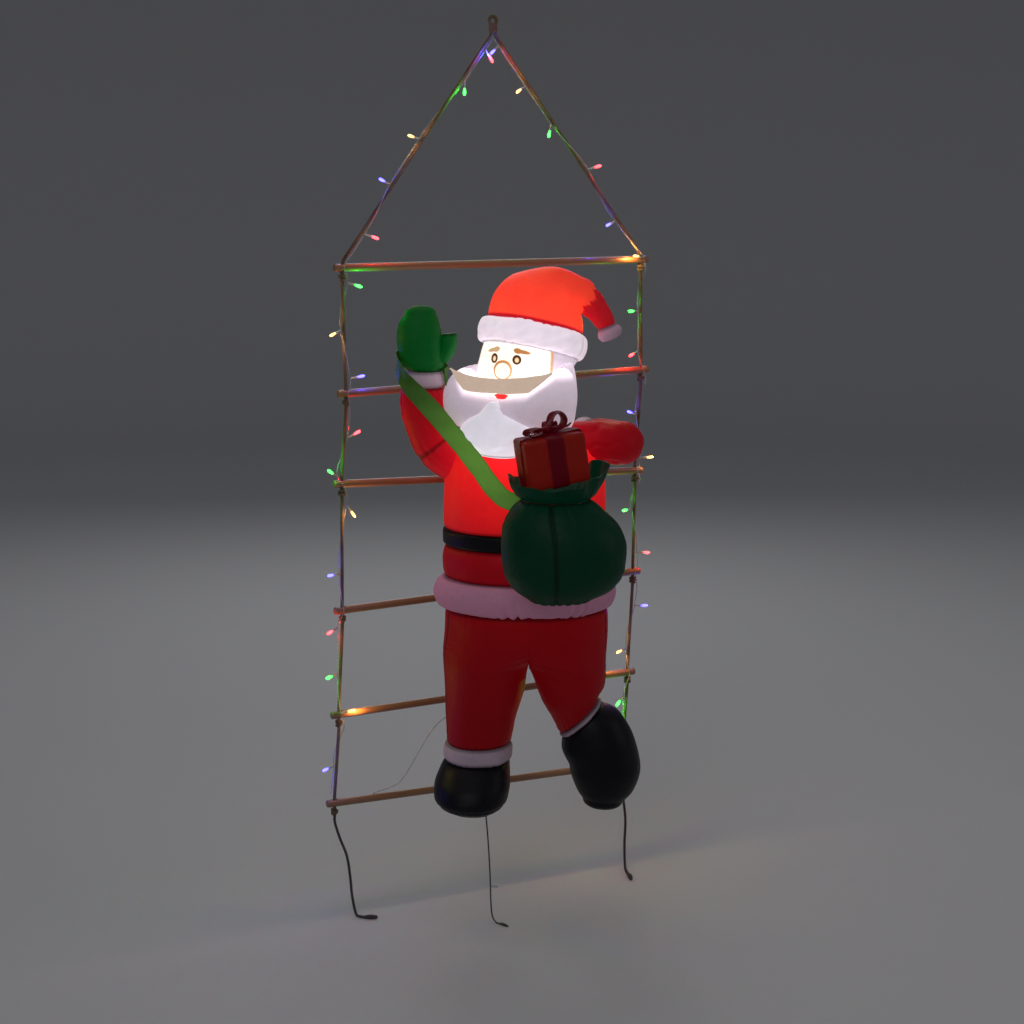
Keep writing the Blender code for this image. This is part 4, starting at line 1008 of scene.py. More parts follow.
through = maths(glow, "MULTIPLY", patchy, remap(glow, given["Seam"], 0, 1, 1.0, 0.42))
lit = add_node(glow, "ShaderNodeVectorMath", {
    0: given["Tint"], "Scale": maths(glow, "MULTIPLY", inside, through)}, operation="SCALE")
feed(out, {"Emission Color": lit.outputs[0]})
NYLON_SPECULAR = 0.16


def light_up(tree, shader, feeds):
    """Lets a shader glow with the light of the lamps inside."""
    lamp = add_node(tree, "ShaderNodeGroup", {"Seam": stored(tree, "seam"), **feeds}, node_tree=glow)
    feed(shader, {"Emission Color": lamp.outputs["Emission Color"], "Emission Strength": 1.0})


def nylon(name, colour, gloss=0.42, tint=None, head=1.0, chest=1.0, reach=0.16, least=0.02, bump=0.0012,
          lit_strip=0.0):
    """Coated nylon of one colour. tint is the colour of the light that comes through it."""
    made, tree, shader = new_material(name, colour, gloss)
    cover(tree, shader, taffeta, {"Seam": stored(tree, "seam"), "Colour": (*colour, 1), "Gloss": gloss}, bump)
    shader.inputs["Specular IOR Level"].default_value = NYLON_SPECULAR
    if tint:
        if lit_strip:
            least = maths(tree, "MULTIPLY_ADD", stored(tree, "lit_strip"), lit_strip, least)
        light_up(tree, shader, {
            "Tint": (*tint, 1), "Head": head, "Chest": chest, "Reach": reach, "Least": least})
        made.cycles.emission_sampling = "NONE"
    return made


def section(name, slot, material, stations, folds=None, place=FIGURE_PLACE, fill=0.95, node=None, **shape):
    """One sewn section, built and dressed."""
    obj = lofted(name, place, stations, folds=folds, **shape)
    dress(obj, material, slot, node)
    return obj


# Jacket
# Three panels of red nylon from the belt up to the neck, lit by the lamp in the chest. The seams run
# down the back and both sides, and the front is smooth. The heights are those where the sections meet.
NECK, BELT_TOP, BELT_BOTTOM, HEM_TOP, HEM_BOTTOM = 825, 611, 576, 511, 443
JACKET_RED = nylon("jacket_red", (0.46, 0.002, 0.010), 0.44, (1.0, 0.013, 0.014), 0.60, 0.90, 0.145, 0.08)


def jacket_folds(cloth):
    cloth.puckers_at("start", 0.026, 0.022, 0.0010, 0.0022)
    cloth.puckers_at("end", 0.022, 0.030, 0.0016)
    for turn in (12, 90, 168):
        cloth.seam_down(turn, reach=0.016, depth=0.0008)
    cloth.crease((232, 0.14), (246, 0.07), 0.013, 0.0012)
    cloth.crease((205, 0.165), (226, 0.100), 0.010, 0.0022)
    cloth.crease((196, 0.110), (222, 0.112), 0.008, 0.0014)
    cloth.swells(0.16, 0.0018)


section("jacket_panels", "nylon_red", JACKET_RED, (
    (0, 0, BELT_TOP + SEAM_GAP, 164, 130),
    (0, 0, 664, 164, 130),
    (0, 0, 707, 163, 126),
    (0, 0, 745, 156, 118),
    (0, 0, 785, 134, 103),
    (0, 0, 810, 104, 84),
    (0, 0, NECK, 72, 62),
), jacket_folds, node="jacket", seed=1)

# Belt
# A band of black nylon sewn between the jacket and its skirt, pulled in at both edges.
BLACK_NYLON = nylon("black_nylon", (0.006, 0.006, 0.009), 0.34, bump=0.0008)


def belt_folds(cloth):
    cloth.puckers_at("start", 0.026, 0.008, 0.0006, 0.0012)
    cloth.puckers_at("end", 0.026, 0.008, 0.0006, 0.0012)
    cloth.seam_down(90, depth=0.0006)
    cloth.swells(0.12, 0.0008)


section("belt_band", "nylon_black", BLACK_NYLON, (
    (0, 0, BELT_BOTTOM + SEAM_GAP, 163, 129),
    (0, 0, BELT_BOTTOM + 6, 167, 133),
    (0, 0, BELT_TOP - 6, 167, 133),
    (0, 0, BELT_TOP, 163, 129),
), belt_folds, node="belt", seed=2)

# Skirt of the jacket and its white hem
# The skirt is a short red band below the belt. The hem is a fat white ring of soft nylon, gathered at
# both edges so that its lower edge looks scalloped.
# The skirt's red is painted darker than the jacket's, as painted shade where less of the lamp's light reaches.
SKIRT_RED = nylon("skirt_red", (0.26, 0.001, 0.008), 0.44, (0.9, 0.001, 0.012), 0.2, 0.36, 0.150, 0.05)
HEM_WHITE = nylon("hem_white", (0.46, 0.22, 0.35), 0.62, (1.0, 0.40, 0.56), 0.0, 0.24, 0.22, 0.02, 0.0006)


def skirt_folds(cloth):
    cloth.puckers_at("start", 0.024, 0.020, 0.0013)
    cloth.puckers_at("end", 0.026, 0.018, 0.0010)
    for turn in (12, 90, 168):
        cloth.seam_down(turn, depth=0.0008)
    cloth.swells(0.12, 0.0010)


section("skirt_band", "nylon_red", SKIRT_RED, (
    (0, 0, HEM_TOP + SEAM_GAP, 166, 133),
    (0, 0, 545, 168, 135),
    (0, 0, BELT_BOTTOM, 164, 130),
), skirt_folds, node="jacket_skirt", seed=3)


def hem_folds(cloth):
    cloth.puckers_at("start", 0.022, 0.034, 0.0060, 0.0026)
    cloth.puckers_at("end", 0.017, 0.026, 0.0022, 0.0026)
    cloth.seam_down(90)
    slant = np.radians(cloth.turn) * 34 + cloth.start / 0.010
    streak = (0.5 + 0.5 * np.cos(slant + 1.6 * ripple(cloth.points, 0.09, 41))) ** 2
    cloth.rise -= 0.0010 * streak * np.clip(ripple(cloth.points, 0.12, 42), 0, 1)
    cloth.swells(0.11, 0.0016)


section("hem_ring", "nylon_white", HEM_WHITE, (
    (0, 0, HEM_BOTTOM + SEAM_GAP, 166, 130),
    (0, 0, HEM_BOTTOM + 12, 181, 146),
    (0, 0, 478, 187, 152),
    (0, 0, HEM_TOP - 12, 180, 146),
    (0, 0, HEM_TOP, 166, 133),
), hem_folds, node="jacket_hem", seed=4)

# Trouser legs
# Two red tubes that meet in a seam down the middle under the hem. One leg stands, and the other is
# lifted and bends outward at the knee. No lamp is in them, so they look dark.
SEAM_X = 8
# Their red is painted darker than the jacket's: painted shade, for the lamp's light that doesn't reach them.
TROUSER_RED = nylon("trouser_red", (0.18, 0.0005, 0.004), 0.44, (0.6, 0.0, 0.005), 0.0, 0.34, 0.24, 0.06)


def leg_folds(cloth):
    cloth.puckers_at("start", 0.024, 0.022, 0.0012)
    cloth.puckers_at("end", 0.020, 0.022, 0.0014)
    cloth.seam_down(197, depth=0.0012)
    cloth.seam_down(0, depth=0.0010)
    cloth.crease((300, 0.10), (345, 0.045), 0.012, 0.0034)
    cloth.crease((285, 0.135), (335, 0.105), 0.010, 0.0026)
    cloth.wrinkles(0.13, 0.0010)
    cloth.swells(0.15, 0.0022)


def pressed_to(sign):
    """Flattens a leg against the middle seam."""
    plane = (SEAM_X - sign * SEAM_GAP / 2) * SHARE

    def keep(points):
        points[..., 0] = np.minimum(points[..., 0], plane) if sign > 0 else np.maximum(points[..., 0], plane)
        return points

    return keep


section("standing_leg_tube", "nylon_red", TROUSER_RED, (
    (SEAM_X, 0, HEM_BOTTOM, 173, 128),
    (-5, 0, 400, 160, 122),
    (-50, 0, 354, 116, 112),
    (-78, 0, 326, 87, 105),
    (-83, 0, 270, 81, 94),
    (-90, 0, 215, 74, 84),
    (-96, 0, 157 + SEAM_GAP, 68, 74),
), leg_folds, node="trouser_leg_standing", keep=pressed_to(1), seed=5)


def raised_leg_folds(cloth):
    cloth.puckers_at("start", 0.024, 0.022, 0.0012)
    cloth.puckers_at("end", 0.018, 0.026, 0.0016)
    cloth.seam_down(345, depth=0.0012)
    cloth.seam_down(180, depth=0.0010)
    cloth.crease((235, 0.13), (285, 0.19), 0.009, 0.0038)
    cloth.crease((228, 0.16), (262, 0.215), 0.008, 0.0032)
    cloth.crease((205, 0.11), (248, 0.055), 0.012, 0.0032)
    cloth.wrinkles(0.13, 0.0010)
    cloth.swells(0.15, 0.0022)


section("raised_leg_tube", "nylon_red", TROUSER_RED, (
    (SEAM_X, 0, HEM_BOTTOM, 161, 128),
    (20, 0, 400, 149, 122),
    (62, -4, 354, 106, 112),
    (88, -9, 326, 80, 105, -3),
    (101, -12, 270, 69, 92, -16),
    (108, -6, 238, 58, 76, -32),
    (111, 0, 213, 53, 62, -42),
), raised_leg_folds, node="trouser_leg_raised", keep=pressed_to(-1), seed=6)

# Trouser cuffs
# Narrow white bands sewn between the trouser legs and the boots.
CUFF_WHITE = nylon("cuff_white", (0.46, 0.37, 0.46), 0.62, (0.9, 0.6, 0.7), 0.0, 0.2, 0.24, 0.015, 0.0006)


def cuff_folds(cloth):
    cloth.puckers_at("start", 0.015, 0.010, 0.0014, 0.0020)
    cloth.puckers_at("end", 0.015, 0.010, 0.0014, 0.0020)
    cloth.seam_down(90, depth=0.0008)
    cloth.swells(0.05, 0.0012)


section("standing_cuff_band", "nylon_white", CUFF_WHITE, (
    (-97, 0, 120 + SEAM_GAP, 68, 74),
    (-97, 0, 130, 71, 77),
    (-97, 0, 149, 71, 77),
    (-97, 0, 157, 68, 74),
), cuff_folds, node="trouser_cuff_standing", seed=7)
section("raised_cuff_band", "nylon_white", CUFF_WHITE, (
    (111.3, 0, 212.6, 54, 63, -42),
    (115, 1, 208, 57, 66, -42),
    (119, 2, 203.4, 55, 63, -42),
), cuff_folds, node="trouser_cuff_raised", seed=8)

# Boots
# Smooth black nylon over a round toe. The sole is a flat piece, and the upper is gathered onto it in a
# seam low on the side.
SOLE_SEAM = 0.72


def boot_folds(cloth):
    cloth.puckers_at("start", 0.024, 0.016, 0.0010, 0.0020)
    cloth.seam_down(90, depth=0.0008)
    sole_seam = cloth.start - SOLE_SEAM * (cloth.start.max() - cloth.start.min())
    turn = np.radians(cloth.turn)
    wave = (0.5 + 0.5 * np.cos(30 * turn + 1.8 * np.sin(3 * turn + 1) + 1.2 * np.sin(7 * turn))) ** 2
    kept = np.clip(0.5 + 0.5 * np.sin(4 * turn + 2) + 0.3 * np.sin(9 * turn), 0.1, 1)
    cloth.rise -= 0.0018 * np.exp(-((sole_seam / 0.0035) ** 2))
    cloth.rise -= 0.0015 * kept * (wave - 0.3) * np.exp(-np.abs(sole_seam) / 0.012)
    cloth.swells(0.11, 0.0013)


section("standing_boot", "nylon_black", BLACK_NYLON, (
    (-99, 0, 120, 68, 74),
    (-104, -8, 100, 73, 84),
    (-109, -18, 72, 78, 96),
    (-111, -24, 50, 76, 98),
    (-110, -26, 34, 66, 88),
    (-108, -26, 22, 46, 68),
), boot_folds, node="boot_standing", power=2.3, seed=9)
section("raised_boot", "nylon_black", BLACK_NYLON, (
    (119.3, 2, 203, 56, 62, -42),
    (138, 6, 178, 71, 74, -32),
    (157, 6, 142, 75, 79, -14),
    (167, 4, 100, 74, 78, 0),
    (166, 2, 60, 62, 65, 3),
    (163, 0, 32, 42, 45, 4),
), boot_folds, node="boot_raised", power=2.15, domes=(0, 19), seed=10)

# Waving arm
# A red sleeve bent up at the elbow, a white cuff and a green mitten. The mitten is two halves with a
# gathered seam round its edge, and its thumb is a short tube with a folded end.
WRIST = 895
SLEEVE_RED = nylon("sleeve_red", (0.38, 0.002, 0.010), 0.44, (1.0, 0.006, 0.018), 0.0, 0.90, 0.125, 0.07)
MITTEN_GREEN = nylon("mitten_green", (0.001, 0.105, 0.016), 0.44, (0.0, 0.5, 0.05), 0.02, 0.02, 0.20, 0.03)


def sleeve_folds(cloth):
    cloth.puckers_at("start", 0.020, 0.026, 0.0018)
    cloth.puckers_at("end", 0.018, 0.022, 0.0016)
    elbow = cloth.start - 0.098
    turn = np.radians(cloth.turn)
    wave = (0.5 + 0.5 * np.cos(16 * turn + 1.2 * np.sin(2 * turn) + np.sin(5 * turn))) ** 2
    kept = np.clip(0.5 + 0.6 * np.sin(3 * turn + 1), 0.08, 1)
    cloth.rise -= 0.0028 * np.exp(-((elbow / 0.0045) ** 2))
    cloth.rise -= 0.0026 * kept * (wave - 0.3) * np.exp(-np.abs(elbow) / 0.022)
    cloth.seam_and_shade = np.maximum(cloth.seam_and_shade, np.clip(1.6 - np.abs(elbow) / 0.0035, 0, 1))
    cloth.seam_down(200, depth=0.0011)
    cloth.swells(0.08, 0.0014)


section("waving_sleeve_tube", "nylon_red", SLEEVE_RED, (
    (-92, 0, 742, 44, 46, -90),
    (-133, -2, 747, 46, 46, -74),
    (-170, -5, 770, 47, 46, -46),
    (-191, -8, 810, 47, 46, -20),
    (-204, -10, 858, 46, 45, -8),
    (-208, -10, WRIST, 43, 43, 0),
), sleeve_folds, node="sleeve_waving", seed=11)
section("waving_cuff_band", "nylon_white", CUFF_WHITE, (
    (-201, -10, WRIST + SEAM_GAP, 36, 38),
    (-200, -10, WRIST + 14, 39, 42),
    (-200, -10, WRIST + 33, 36, 38),
), cuff_folds, node="cuff_waving", seed=12)


def mitten_folds(cloth):
    cloth.puckers_at("start", 0.014, 0.022, 0.0018)
    for turn in (2, 180):
        cloth.seam_down(turn, spacing=0.013, reach=0.018, depth=0.0026, pinch=0.0026)
    cloth.swells(0.06, 0.0014)


mitten = lofted("waving_mitten", FIGURE_PLACE, (
    (-200, -10, WRIST + 33 + SEAM_GAP, 36, 37),
    (-206, -10, 952, 43, 36),
    (-210, -10, 986, 46, 34),
    (-211, -10, 1018, 42, 30),
    (-209, -10, 1042, 31, 23),
), domes=(0, 17), folds=mitten_folds, across=0.0022, along=0.0024, seed=13)


def thumb_folds(cloth):
    cloth.seam_down(0, spacing=0.010, reach=0.010, depth=0.0012, pinch=0.0014)
    cloth.puckers_at("end", 0.009, 0.010, 0.0014, 0.0020)
    cloth.swells(0.03, 0.0008)


thumb = lofted("thumb", FIGURE_PLACE, (
    (-190, -10, 950, 14, 16, 70),
    (-165, -10, 957, 16, 18, 50),
    (-153, -11, 976, 17, 19, 12),
    (-151, -12, 1003, 16, 17, -4),
), folds=thumb_folds, across=0.0020, along=0.0022, seed=14)


def fuse(piece, *others):
    """Makes one mesh of several."""
    bm = bmesh.new()
    for obj in (piece, *others):
        bm.from_mesh(obj.data)
    bm.to_mesh(piece.data)
    bm.free()
    for obj in others:
        bpy.data.objects.remove(obj)
    piece.data.shade_smooth()
    return piece


dress(fuse(mitten, thumb), MITTEN_GREEN, "nylon_green", "mitten_waving")

# Bent arm
# The other sleeve goes round behind the body, and its mitten rests on the back. Little of the lamp's
# light reaches it.
# Its red is painted darker than the waving sleeve's: painted shade, for its place behind the body.
FAR_SLEEVE_RED = nylon("far_sleeve_red", (0.32, 0.001, 0.008), 0.44, (1.0, 0.001, 0.014), 0.0, 0.20, 0.140,
                       0.05)


def bent_sleeve_folds(cloth):
    cloth.puckers_at("start", 0.020, 0.022, 0.0014)
    cloth.puckers_at("end", 0.016, 0.022, 0.0016)
    cloth.seam_down(270, depth=0.0012)
    for first, last, place in ((20, 110, 0.092), (350, 75, 0.112), (-30, 60, 0.128), (150, 210, 0.150),
                               (150, 210, 0.190)):
        cloth.crease((first, place), (last, place + 0.010), 0.0065, 0.0034)
    for first, last, begin, finish in (
        (255, 300, 0.012, 0.060), (275, 318, 0.034, 0.074), (240, 286, 0.066, 0.104),
        (290, 335, 0.080, 0.098), (262, 325, 0.118, 0.096),
    ):
        cloth.crease((first, begin), (last, finish), 0.0058, 0.0040)
    cloth.wrinkles(0.050, -0.0042)
    cloth.swells(0.09, 0.0016)


section("bent_sleeve_tube", "nylon_red", FAR_SLEEVE_RED, (
    (80, -5, 781, 44, 44, 0),
    (135, -8, 781, 45, 45, 0),
    (176, 0, 780, 45, 45, 18),
    (198, 27, 778, 44, 44, 68),
    (187, 62, 778, 42, 42, 124),
    (160, 91, 779, 40, 40, 142),
    (135, 108, 780, 37, 36, 148),
), bent_sleeve_folds, node="sleeve_bent", frame=level, seed=15)
section("bent_cuff_band", "nylon_white", CUFF_WHITE, (
    (134.7, 108.2, 780, 36, 35, 148),
    (122, 116, 780, 39, 38, 148),
    (109, 124, 780, 36, 35, 148),
), cuff_folds, node="cuff_bent", frame=level, seed=16)


def bent_mitten_folds(cloth):
    cloth.puckers_at("start", 0.014, 0.022, 0.0018)
    for turn in (90, 270):
        cloth.seam_down(turn, spacing=0.013, reach=0.018, depth=0.0022, pinch=0.0024)
    cloth.swells(0.06, 0.0014)


section("bent_mitten", "nylon_green", MITTEN_GREEN, (
    (108.7, 124.2, 780, 35, 35, 148),
    (84, 141, 781, 33, 41, 146),
    (56, 160, 783, 30, 43, 146),
    (34, 176, 785, 24, 34, 146),
), bent_mitten_folds, node="mitten_bent", frame=level, domes=(0, 16), seed=17)

# Head
# One round section. Its front panel is thin cream cloth that the lamp inside makes nearly white, and a
# tan seam sews it to white hair at each side. The eyes, brows and mouth are printed on it.
printed, given, out = new_group(
    "printed_oval",
    [("Place", "Vector", (0, 0, 0)), ("Middle", "Vector", (0, 0, 0)), ("Turn", "Float", 0.0),
     ("Half", "Vector", (0.01, 0.01, 1.0)), ("Soft", "Float", 0.06)],
    [("Inside", "Float")],
)
off = add_node(printed, "ShaderNodeVectorMath", {0: given["Place"], 1: given["Middle"]}, operation="SUBTRACT")
turned = add_node(printed, "ShaderNodeVectorRotate", {
    "Vector": off.outputs[0], "Angle": given["Turn"]}, rotation_type="Z_AXIS")
scaled = add_node(printed, "ShaderNodeVectorMath", {0: turned.outputs[0], 1: given["Half"]}, operation="DIVIDE")
length = add_node(printed, "ShaderNodeVectorMath", {0: scaled.outputs[0]}, operation="LENGTH")
inside = add_node(printed, "ShaderNodeMapRange", {
    "Value": length.outputs["Value"], "From Min": maths(printed, "ADD", 1.0, given["Soft"]),
    "From Max": maths(printed, "SUBTRACT", 1.0, given["Soft"])}, interpolation_type="SMOOTHSTEP")
feed(out, {"Inside": inside.outputs[0]})

FACE_CREAM, tree, shader = new_material("face_cream", (0.93, 0.86, 0.74), 0.5)
hair, tan_seam = stored(tree, "hair"), stored(tree, "tan_seam")
place = stored(tree, "face_place", "Vector")
colour = blend(tree, hair, (0.93, 0.88, 0.78), (0.78, 0.74, 0.80))
colour = blend(tree, tan_seam, colour, (0.62, 0.30, 0.10))
light = blend(tree, hair, (1.0, 0.91, 0.76), (0.42, 0.35, 0.40))
light = blend(tree, tan_seam, light, (0.50, 0.20, 0.05))
# Each print: middle, half size, turn, colour, colour of the light through it, softness of the edge
for middle, half, turn, ink, shine, soft in (
    ((-0.0300, 0.9758), (0.0175, 0.0038), -11, (0.56, 0.38, 0.21), (0.46, 0.31, 0.17), 0.20),
    ((-0.0215, 0.9773), (0.0085, 0.0054), -11, (0.56, 0.38, 0.21), (0.46, 0.31, 0.17), 0.20),
    ((0.0370, 0.9743), (0.0175, 0.0038), 11, (0.50, 0.22, 0.08), (0.38, 0.15, 0.045), 0.20),
    ((0.0285, 0.9758), (0.0085, 0.0054), 11, (0.50, 0.22, 0.08), (0.38, 0.15, 0.045), 0.20),
    ((-0.0240, 0.9598), (0.0086, 0.0096), 0, (0.045, 0.018, 0.010), (0.035, 0.010, 0.004), 0.10),
    ((0.0268, 0.9586), (0.0092, 0.0094), 0, (0.045, 0.018, 0.010), (0.035, 0.010, 0.004), 0.10),
    ((-0.0238, 0.9592), (0.0046, 0.0058), 0, (0.55, 0.24, 0.06), (0.45, 0.17, 0.03), 0.16),
    ((0.0270, 0.9580), (0.0050, 0.0056), 0, (0.55, 0.24, 0.06), (0.45, 0.17, 0.03), 0.16),
    ((-0.0237, 0.9590), (0.0032, 0.0043), 0, (0.90, 0.78, 0.58), (0.75, 0.60, 0.40), 0.18),
    ((0.0271, 0.9578), (0.0036, 0.0041), 0, (0.90, 0.78, 0.58), (0.75, 0.60, 0.40), 0.18),
    ((-0.0060, 0.8868), (0.0158, 0.0040), 0, (0.55, 0.012, 0.012), (0.75, 0.015, 0.010), 0.16),
    ((-0.0060, 0.8820), (0.0118, 0.0070), 0, (0.55, 0.012, 0.012), (0.75, 0.015, 0.010), 0.12),
):
    oval = add_node(tree, "ShaderNodeGroup", {
        "Place": place, "Middle": (*middle, 0), "Half": (*half, 1), "Turn": math.radians(turn), "Soft": soft},
        node_tree=printed).outputs["Inside"]
    colour, light = blend(tree, oval, colour, ink), blend(tree, oval, light, shine)
cover(tree, shader, taffeta, {"Colour": colour, "Seam": stored(tree, "seam")}, 0.0008)
light_up(tree, shader, {"Tint": light, "Head": 1.10, "Chest": 0.12, "Reach": 0.15, "Least": 0.03})

# Middle of the hat's brim, its tilt and lean in degrees, and half its height
BRIM = (15, 2, 990)
BRIM_TURNS = (11.5, 11.5)
BRIM_HALF = 27
# Degrees from the middle of the face to the hair, and the radius that the prints are laid out on
HAIR_TURN = 57
FACE_RADIUS = 0.097


def brim_station(reach, width):
    """A ring of the hat's brim at a reach above its middle."""
    tilt, lean = [math.radians(turn) for turn in BRIM_TURNS]
    up = (math.sin(tilt) * math.cos(lean), math.sin(lean), math.cos(tilt) * math.cos(lean))
    return (*[m + u * reach for m, u in zip(BRIM, up)], width, width, *BRIM_TURNS)


def head_folds(cloth):
    for turn in (270 + FACE_TURN - HAIR_TURN, 270 + FACE_TURN + HAIR_TURN):
        cloth.seam_down(turn, spacing=0.014, reach=0.012, depth=0.0008, pinch=0.0016, seam_and_shade=0.2)
    cloth.seam_down(64, depth=0.0010)
    cloth.puckers_at("start", 0.018, 0.020, 0.0018)
    cloth.swells(0.09, 0.0010)


head = lofted("head_panels", FIGURE_PLACE, (
    (0, 0, NECK + SEAM_GAP, 72, 62),
    (0, 0, 850, 88, 88),
    (0, 0, 882, 96, 98),
    (0, 0, 930, 97, 99),
    brim_station(-BRIM_HALF - SEAM_GAP, 95),
), folds=head_folds, across=0.0022, along=0.0024, seed=20)
dress(head, FACE_CREAM, "nylon_face", "head")
local = np.array([FACE_PLACE.inverted() @ v.co for v in head.data.vertices])
turn = np.arctan2(local[:, 0], -local[:, 1])
past_face = np.abs(np.degrees(turn)) - HAIR_TURN
store(head.data, "face_place", np.stack([turn * FACE_RADIUS, local[:, 2], 0 * turn], 1))
store(head.data, "hair", np.clip(past_face / 1.2 + 0.5, 0, 1))
store(head.data, "tan_seam", np.clip(1.5 - np.abs(past_face) / 2.0, 0, 1) * np.where(turn > 0, 0.9, 0.35))

# Nose
# A small round bag, sewn on with a rim of tan cloth. It looks a little to the right of where the face
# does.
NOSE_AIM = math.radians(20)
# Half sizes, and the middle in the face's own frame
NOSE_HALF = (0.018, 0.021, 0.0195)
NOSE_MIDDLE = (0, -0.099, 0.938)
NOSE_CREAM, tree, shader = new_material("nose_cream", (0.93, 0.84, 0.70), 0.5)
rim = stored(tree, "rim")
colour = blend(tree, rim, (0.94, 0.86, 0.72), (0.58, 0.28, 0.10))
cover(tree, shader, taffeta, {"Colour": colour}, 0.0006)
light = blend(tree, rim, (1.0, 0.92, 0.76), (0.42, 0.15, 0.03))
feed(shader, {"Emission Color": light, "Emission Strength": 0.9})

bm = bmesh.new()
bmesh.ops.create_uvsphere(bm, u_segments=72, v_segments=48, radius=1)
bm.transform(Matrix.Rotation(math.pi / 2, 4, "X"))
nose_mesh = bpy.data.meshes.new("nose_bag")
bm.to_mesh(nose_mesh)
bm.free()
ball = np.array([v.co for v in nose_mesh.vertices])
turn = np.arctan2(ball[:, 2], ball[:, 0])
base = np.clip((ball[:, 1] + 0.45) / 0.5, 0, 1)
gather = (0.5 + 0.5 * np.cos(15 * turn + np.sin(3 * turn))) ** 2
ball *= (1 - 0.04 * gather * base)[:, None]
aim = np.array((math.sin(NOSE_AIM), -math.cos(NOSE_AIM), 0))
off_aim = np.linalg.norm(ball - (ball @ aim)[:, None] * aim, axis=1)
rim = np.where(ball @ aim > 0, np.clip((off_aim - 0.74) / 0.09, 0, 1), 1)
rolled = np.exp(-(((ball[:, 1] + 0.30) / 0.18) ** 2))
ball *= (1 + 0.05 * rolled)[:, None]
nose_mesh.vertices.foreach_set("co", placed(FACE_PLACE, ball * NOSE_HALF + NOSE_MIDDLE).ravel())
nose_mesh.shade_smooth()
store(nose_mesh, "rim", rim)
nose = add_object("nose_bag", nose_mesh)
dress(nose, NOSE_CREAM, "nylon_face", "nose")

# Beard
# A fat white roll of nylon round the lower face, and a second lobe that hangs from its middle. Both
# are gathered along their edges.
BEARD_WHITE = nylon("beard_white", (0.62, 0.53, 0.63), 0.60, (1.0, 0.82, 0.95), 0.60, 0.30, 0.135, 0.13,
                    bump=0.0004, lit_strip=1.2)
LOBE_WHITE = nylon("lobe_white", (0.70, 0.67, 0.76), 0.60, (1.0, 0.95, 1.05), 0.30, 1.00, 0.135, 0.16,
                   bump=0.0004, lit_strip=0.7)


def beard_station(turn, radius, height, thickness, tall):
    """A ring of the beard at a turn round the head from the middle of the face."""
    x = radius * math.sin(math.radians(turn))
    y = -radius * math.cos(math.radians(turn))
    return (x, y, height, thickness, tall, turn)


def beard_folds(cloth):
    for turn in (90, 265):
        cloth.seam_down(turn, spacing=0.024, reach=0.024, depth=0.0020, pinch=0.0012, seam_and_shade=0.25)
    cloth.puckers_at("start", 0.014, 0.022, 0.0014)
    cloth.puckers_at("end", 0.014, 0.022, 0.0014)
    cloth.wrinkles(0.08, 0.0010)
    cloth.swells(0.09, 0.0022)


beard = section("beard_roll", "nylon_white", BEARD_WHITE, [
    beard_station(*row) for row in (
        (-112, 98, 912, 10, 20),
        (-88, 108, 884, 28, 50),
        (-64, 117, 874, 46, 58),
        (-42, 121, 868, 48, 52),
        (-20, 121, 860, 42, 34),
        (0, 116, 858, 36, 22),
        (20, 121, 860, 42, 34),
        (42, 121, 870, 48, 54),
        (64, 114, 878, 41, 64),
        (88, 98, 886, 17, 66),
        (112, 92, 908, 9, 26),
    )
], beard_folds, place=FACE_PLACE, node="beard", frame=level, domes=(3, 3), seed=21)


def lobe_folds(cloth):
    for turn in (0, 180):
        cloth.seam_down(turn, spacing=0.018, reach=0.018, depth=0.0018, pinch=0.0012, seam_and_shade=0.25)
    cloth.puckers_at("start", 0.016, 0.014, 0.0016, 0.0010)
    cloth.crease((222, 0.044), (262, 0.020), 0.0042, 0.0030)
    cloth.crease((262, 0.018), (322, 0.040), 0.0042, 0.0030)
    cloth.crease((235, 0.070), (258, 0.052), 0.0060, 0.0014)
    cloth.swells(0.07, 0.0016)


lobe = section("beard_lobe", "nylon_white", LOBE_WHITE, (
    (0, -128, 772, 44, 22),
    (0, -129, 790, 66, 34),
    (0, -128, 812, 84, 40),
    (0, -130, 838, 66, 38),
    (0, -134, 860, 32, 27),
    (0, -138, 878, 10, 14),
), lobe_folds, place=FACE_PLACE, node="beard_point", domes=(3, 2), seed=22)

# The strip just under the moustache, which the lamp in the head lights the most: it follows the edge of
# the moustache, a height for each distance from the middle
FLAP_EDGE = ((0, 0.040, 0.069, 0.080, 0.096, 0.109), (0.895, 0.896, 0.899, 0.907, 0.921, 0.934))
STRIP_HEIGHT = 0.020
for piece in (beard, lobe):
    local = np.array([FACE_PLACE.inverted() @ v.co for v in piece.data.vertices])
    flap_edge = np.interp(np.abs(local[:, 0]), *FLAP_EDGE)
    below = (flap_edge - local[:, 2]) / STRIP_HEIGHT
    strip_light = np.where(local[:, 1] < -0.05, np.clip(1 - np.maximum(below, 0), 0, 1) ** 2, 0)
    store(piece.data, "lit_strip", strip_light)

# Moustache
# A stiff flap of light tan felt, sewn on under the nose, with its ends turned up. It has a painted glow, though
# no lamp is in it.
FELT_TAN, tree, shader = new_material("felt_tan", (0.74, 0.62, 0.50), 0.92)
where = place_in(tree)
fuzz = noise(tree, where, 420.0, 4.0, Roughness=0.8, Distortion=1.0)
mottled = remap(tree, maths(tree, "ADD", fuzz, noise(tree, where, 45.0, 3.0)), 0.7, 1.3)
# The felt has no lamp in it: its warm emission is a painted glow that makes it brighter.
feed(shader, {
    "Base Color": blend(tree, mottled, (0.44, 0.36, 0.31), (0.62, 0.53, 0.46)),
    "Normal": relief(tree, fuzz, 0.0006), "Sheen Weight": 0.4,
    "Emission Color": (1.0, 0.73, 0.55, 1), "Emission Strength": 0.42,
})
FELT_HALF = 2.8

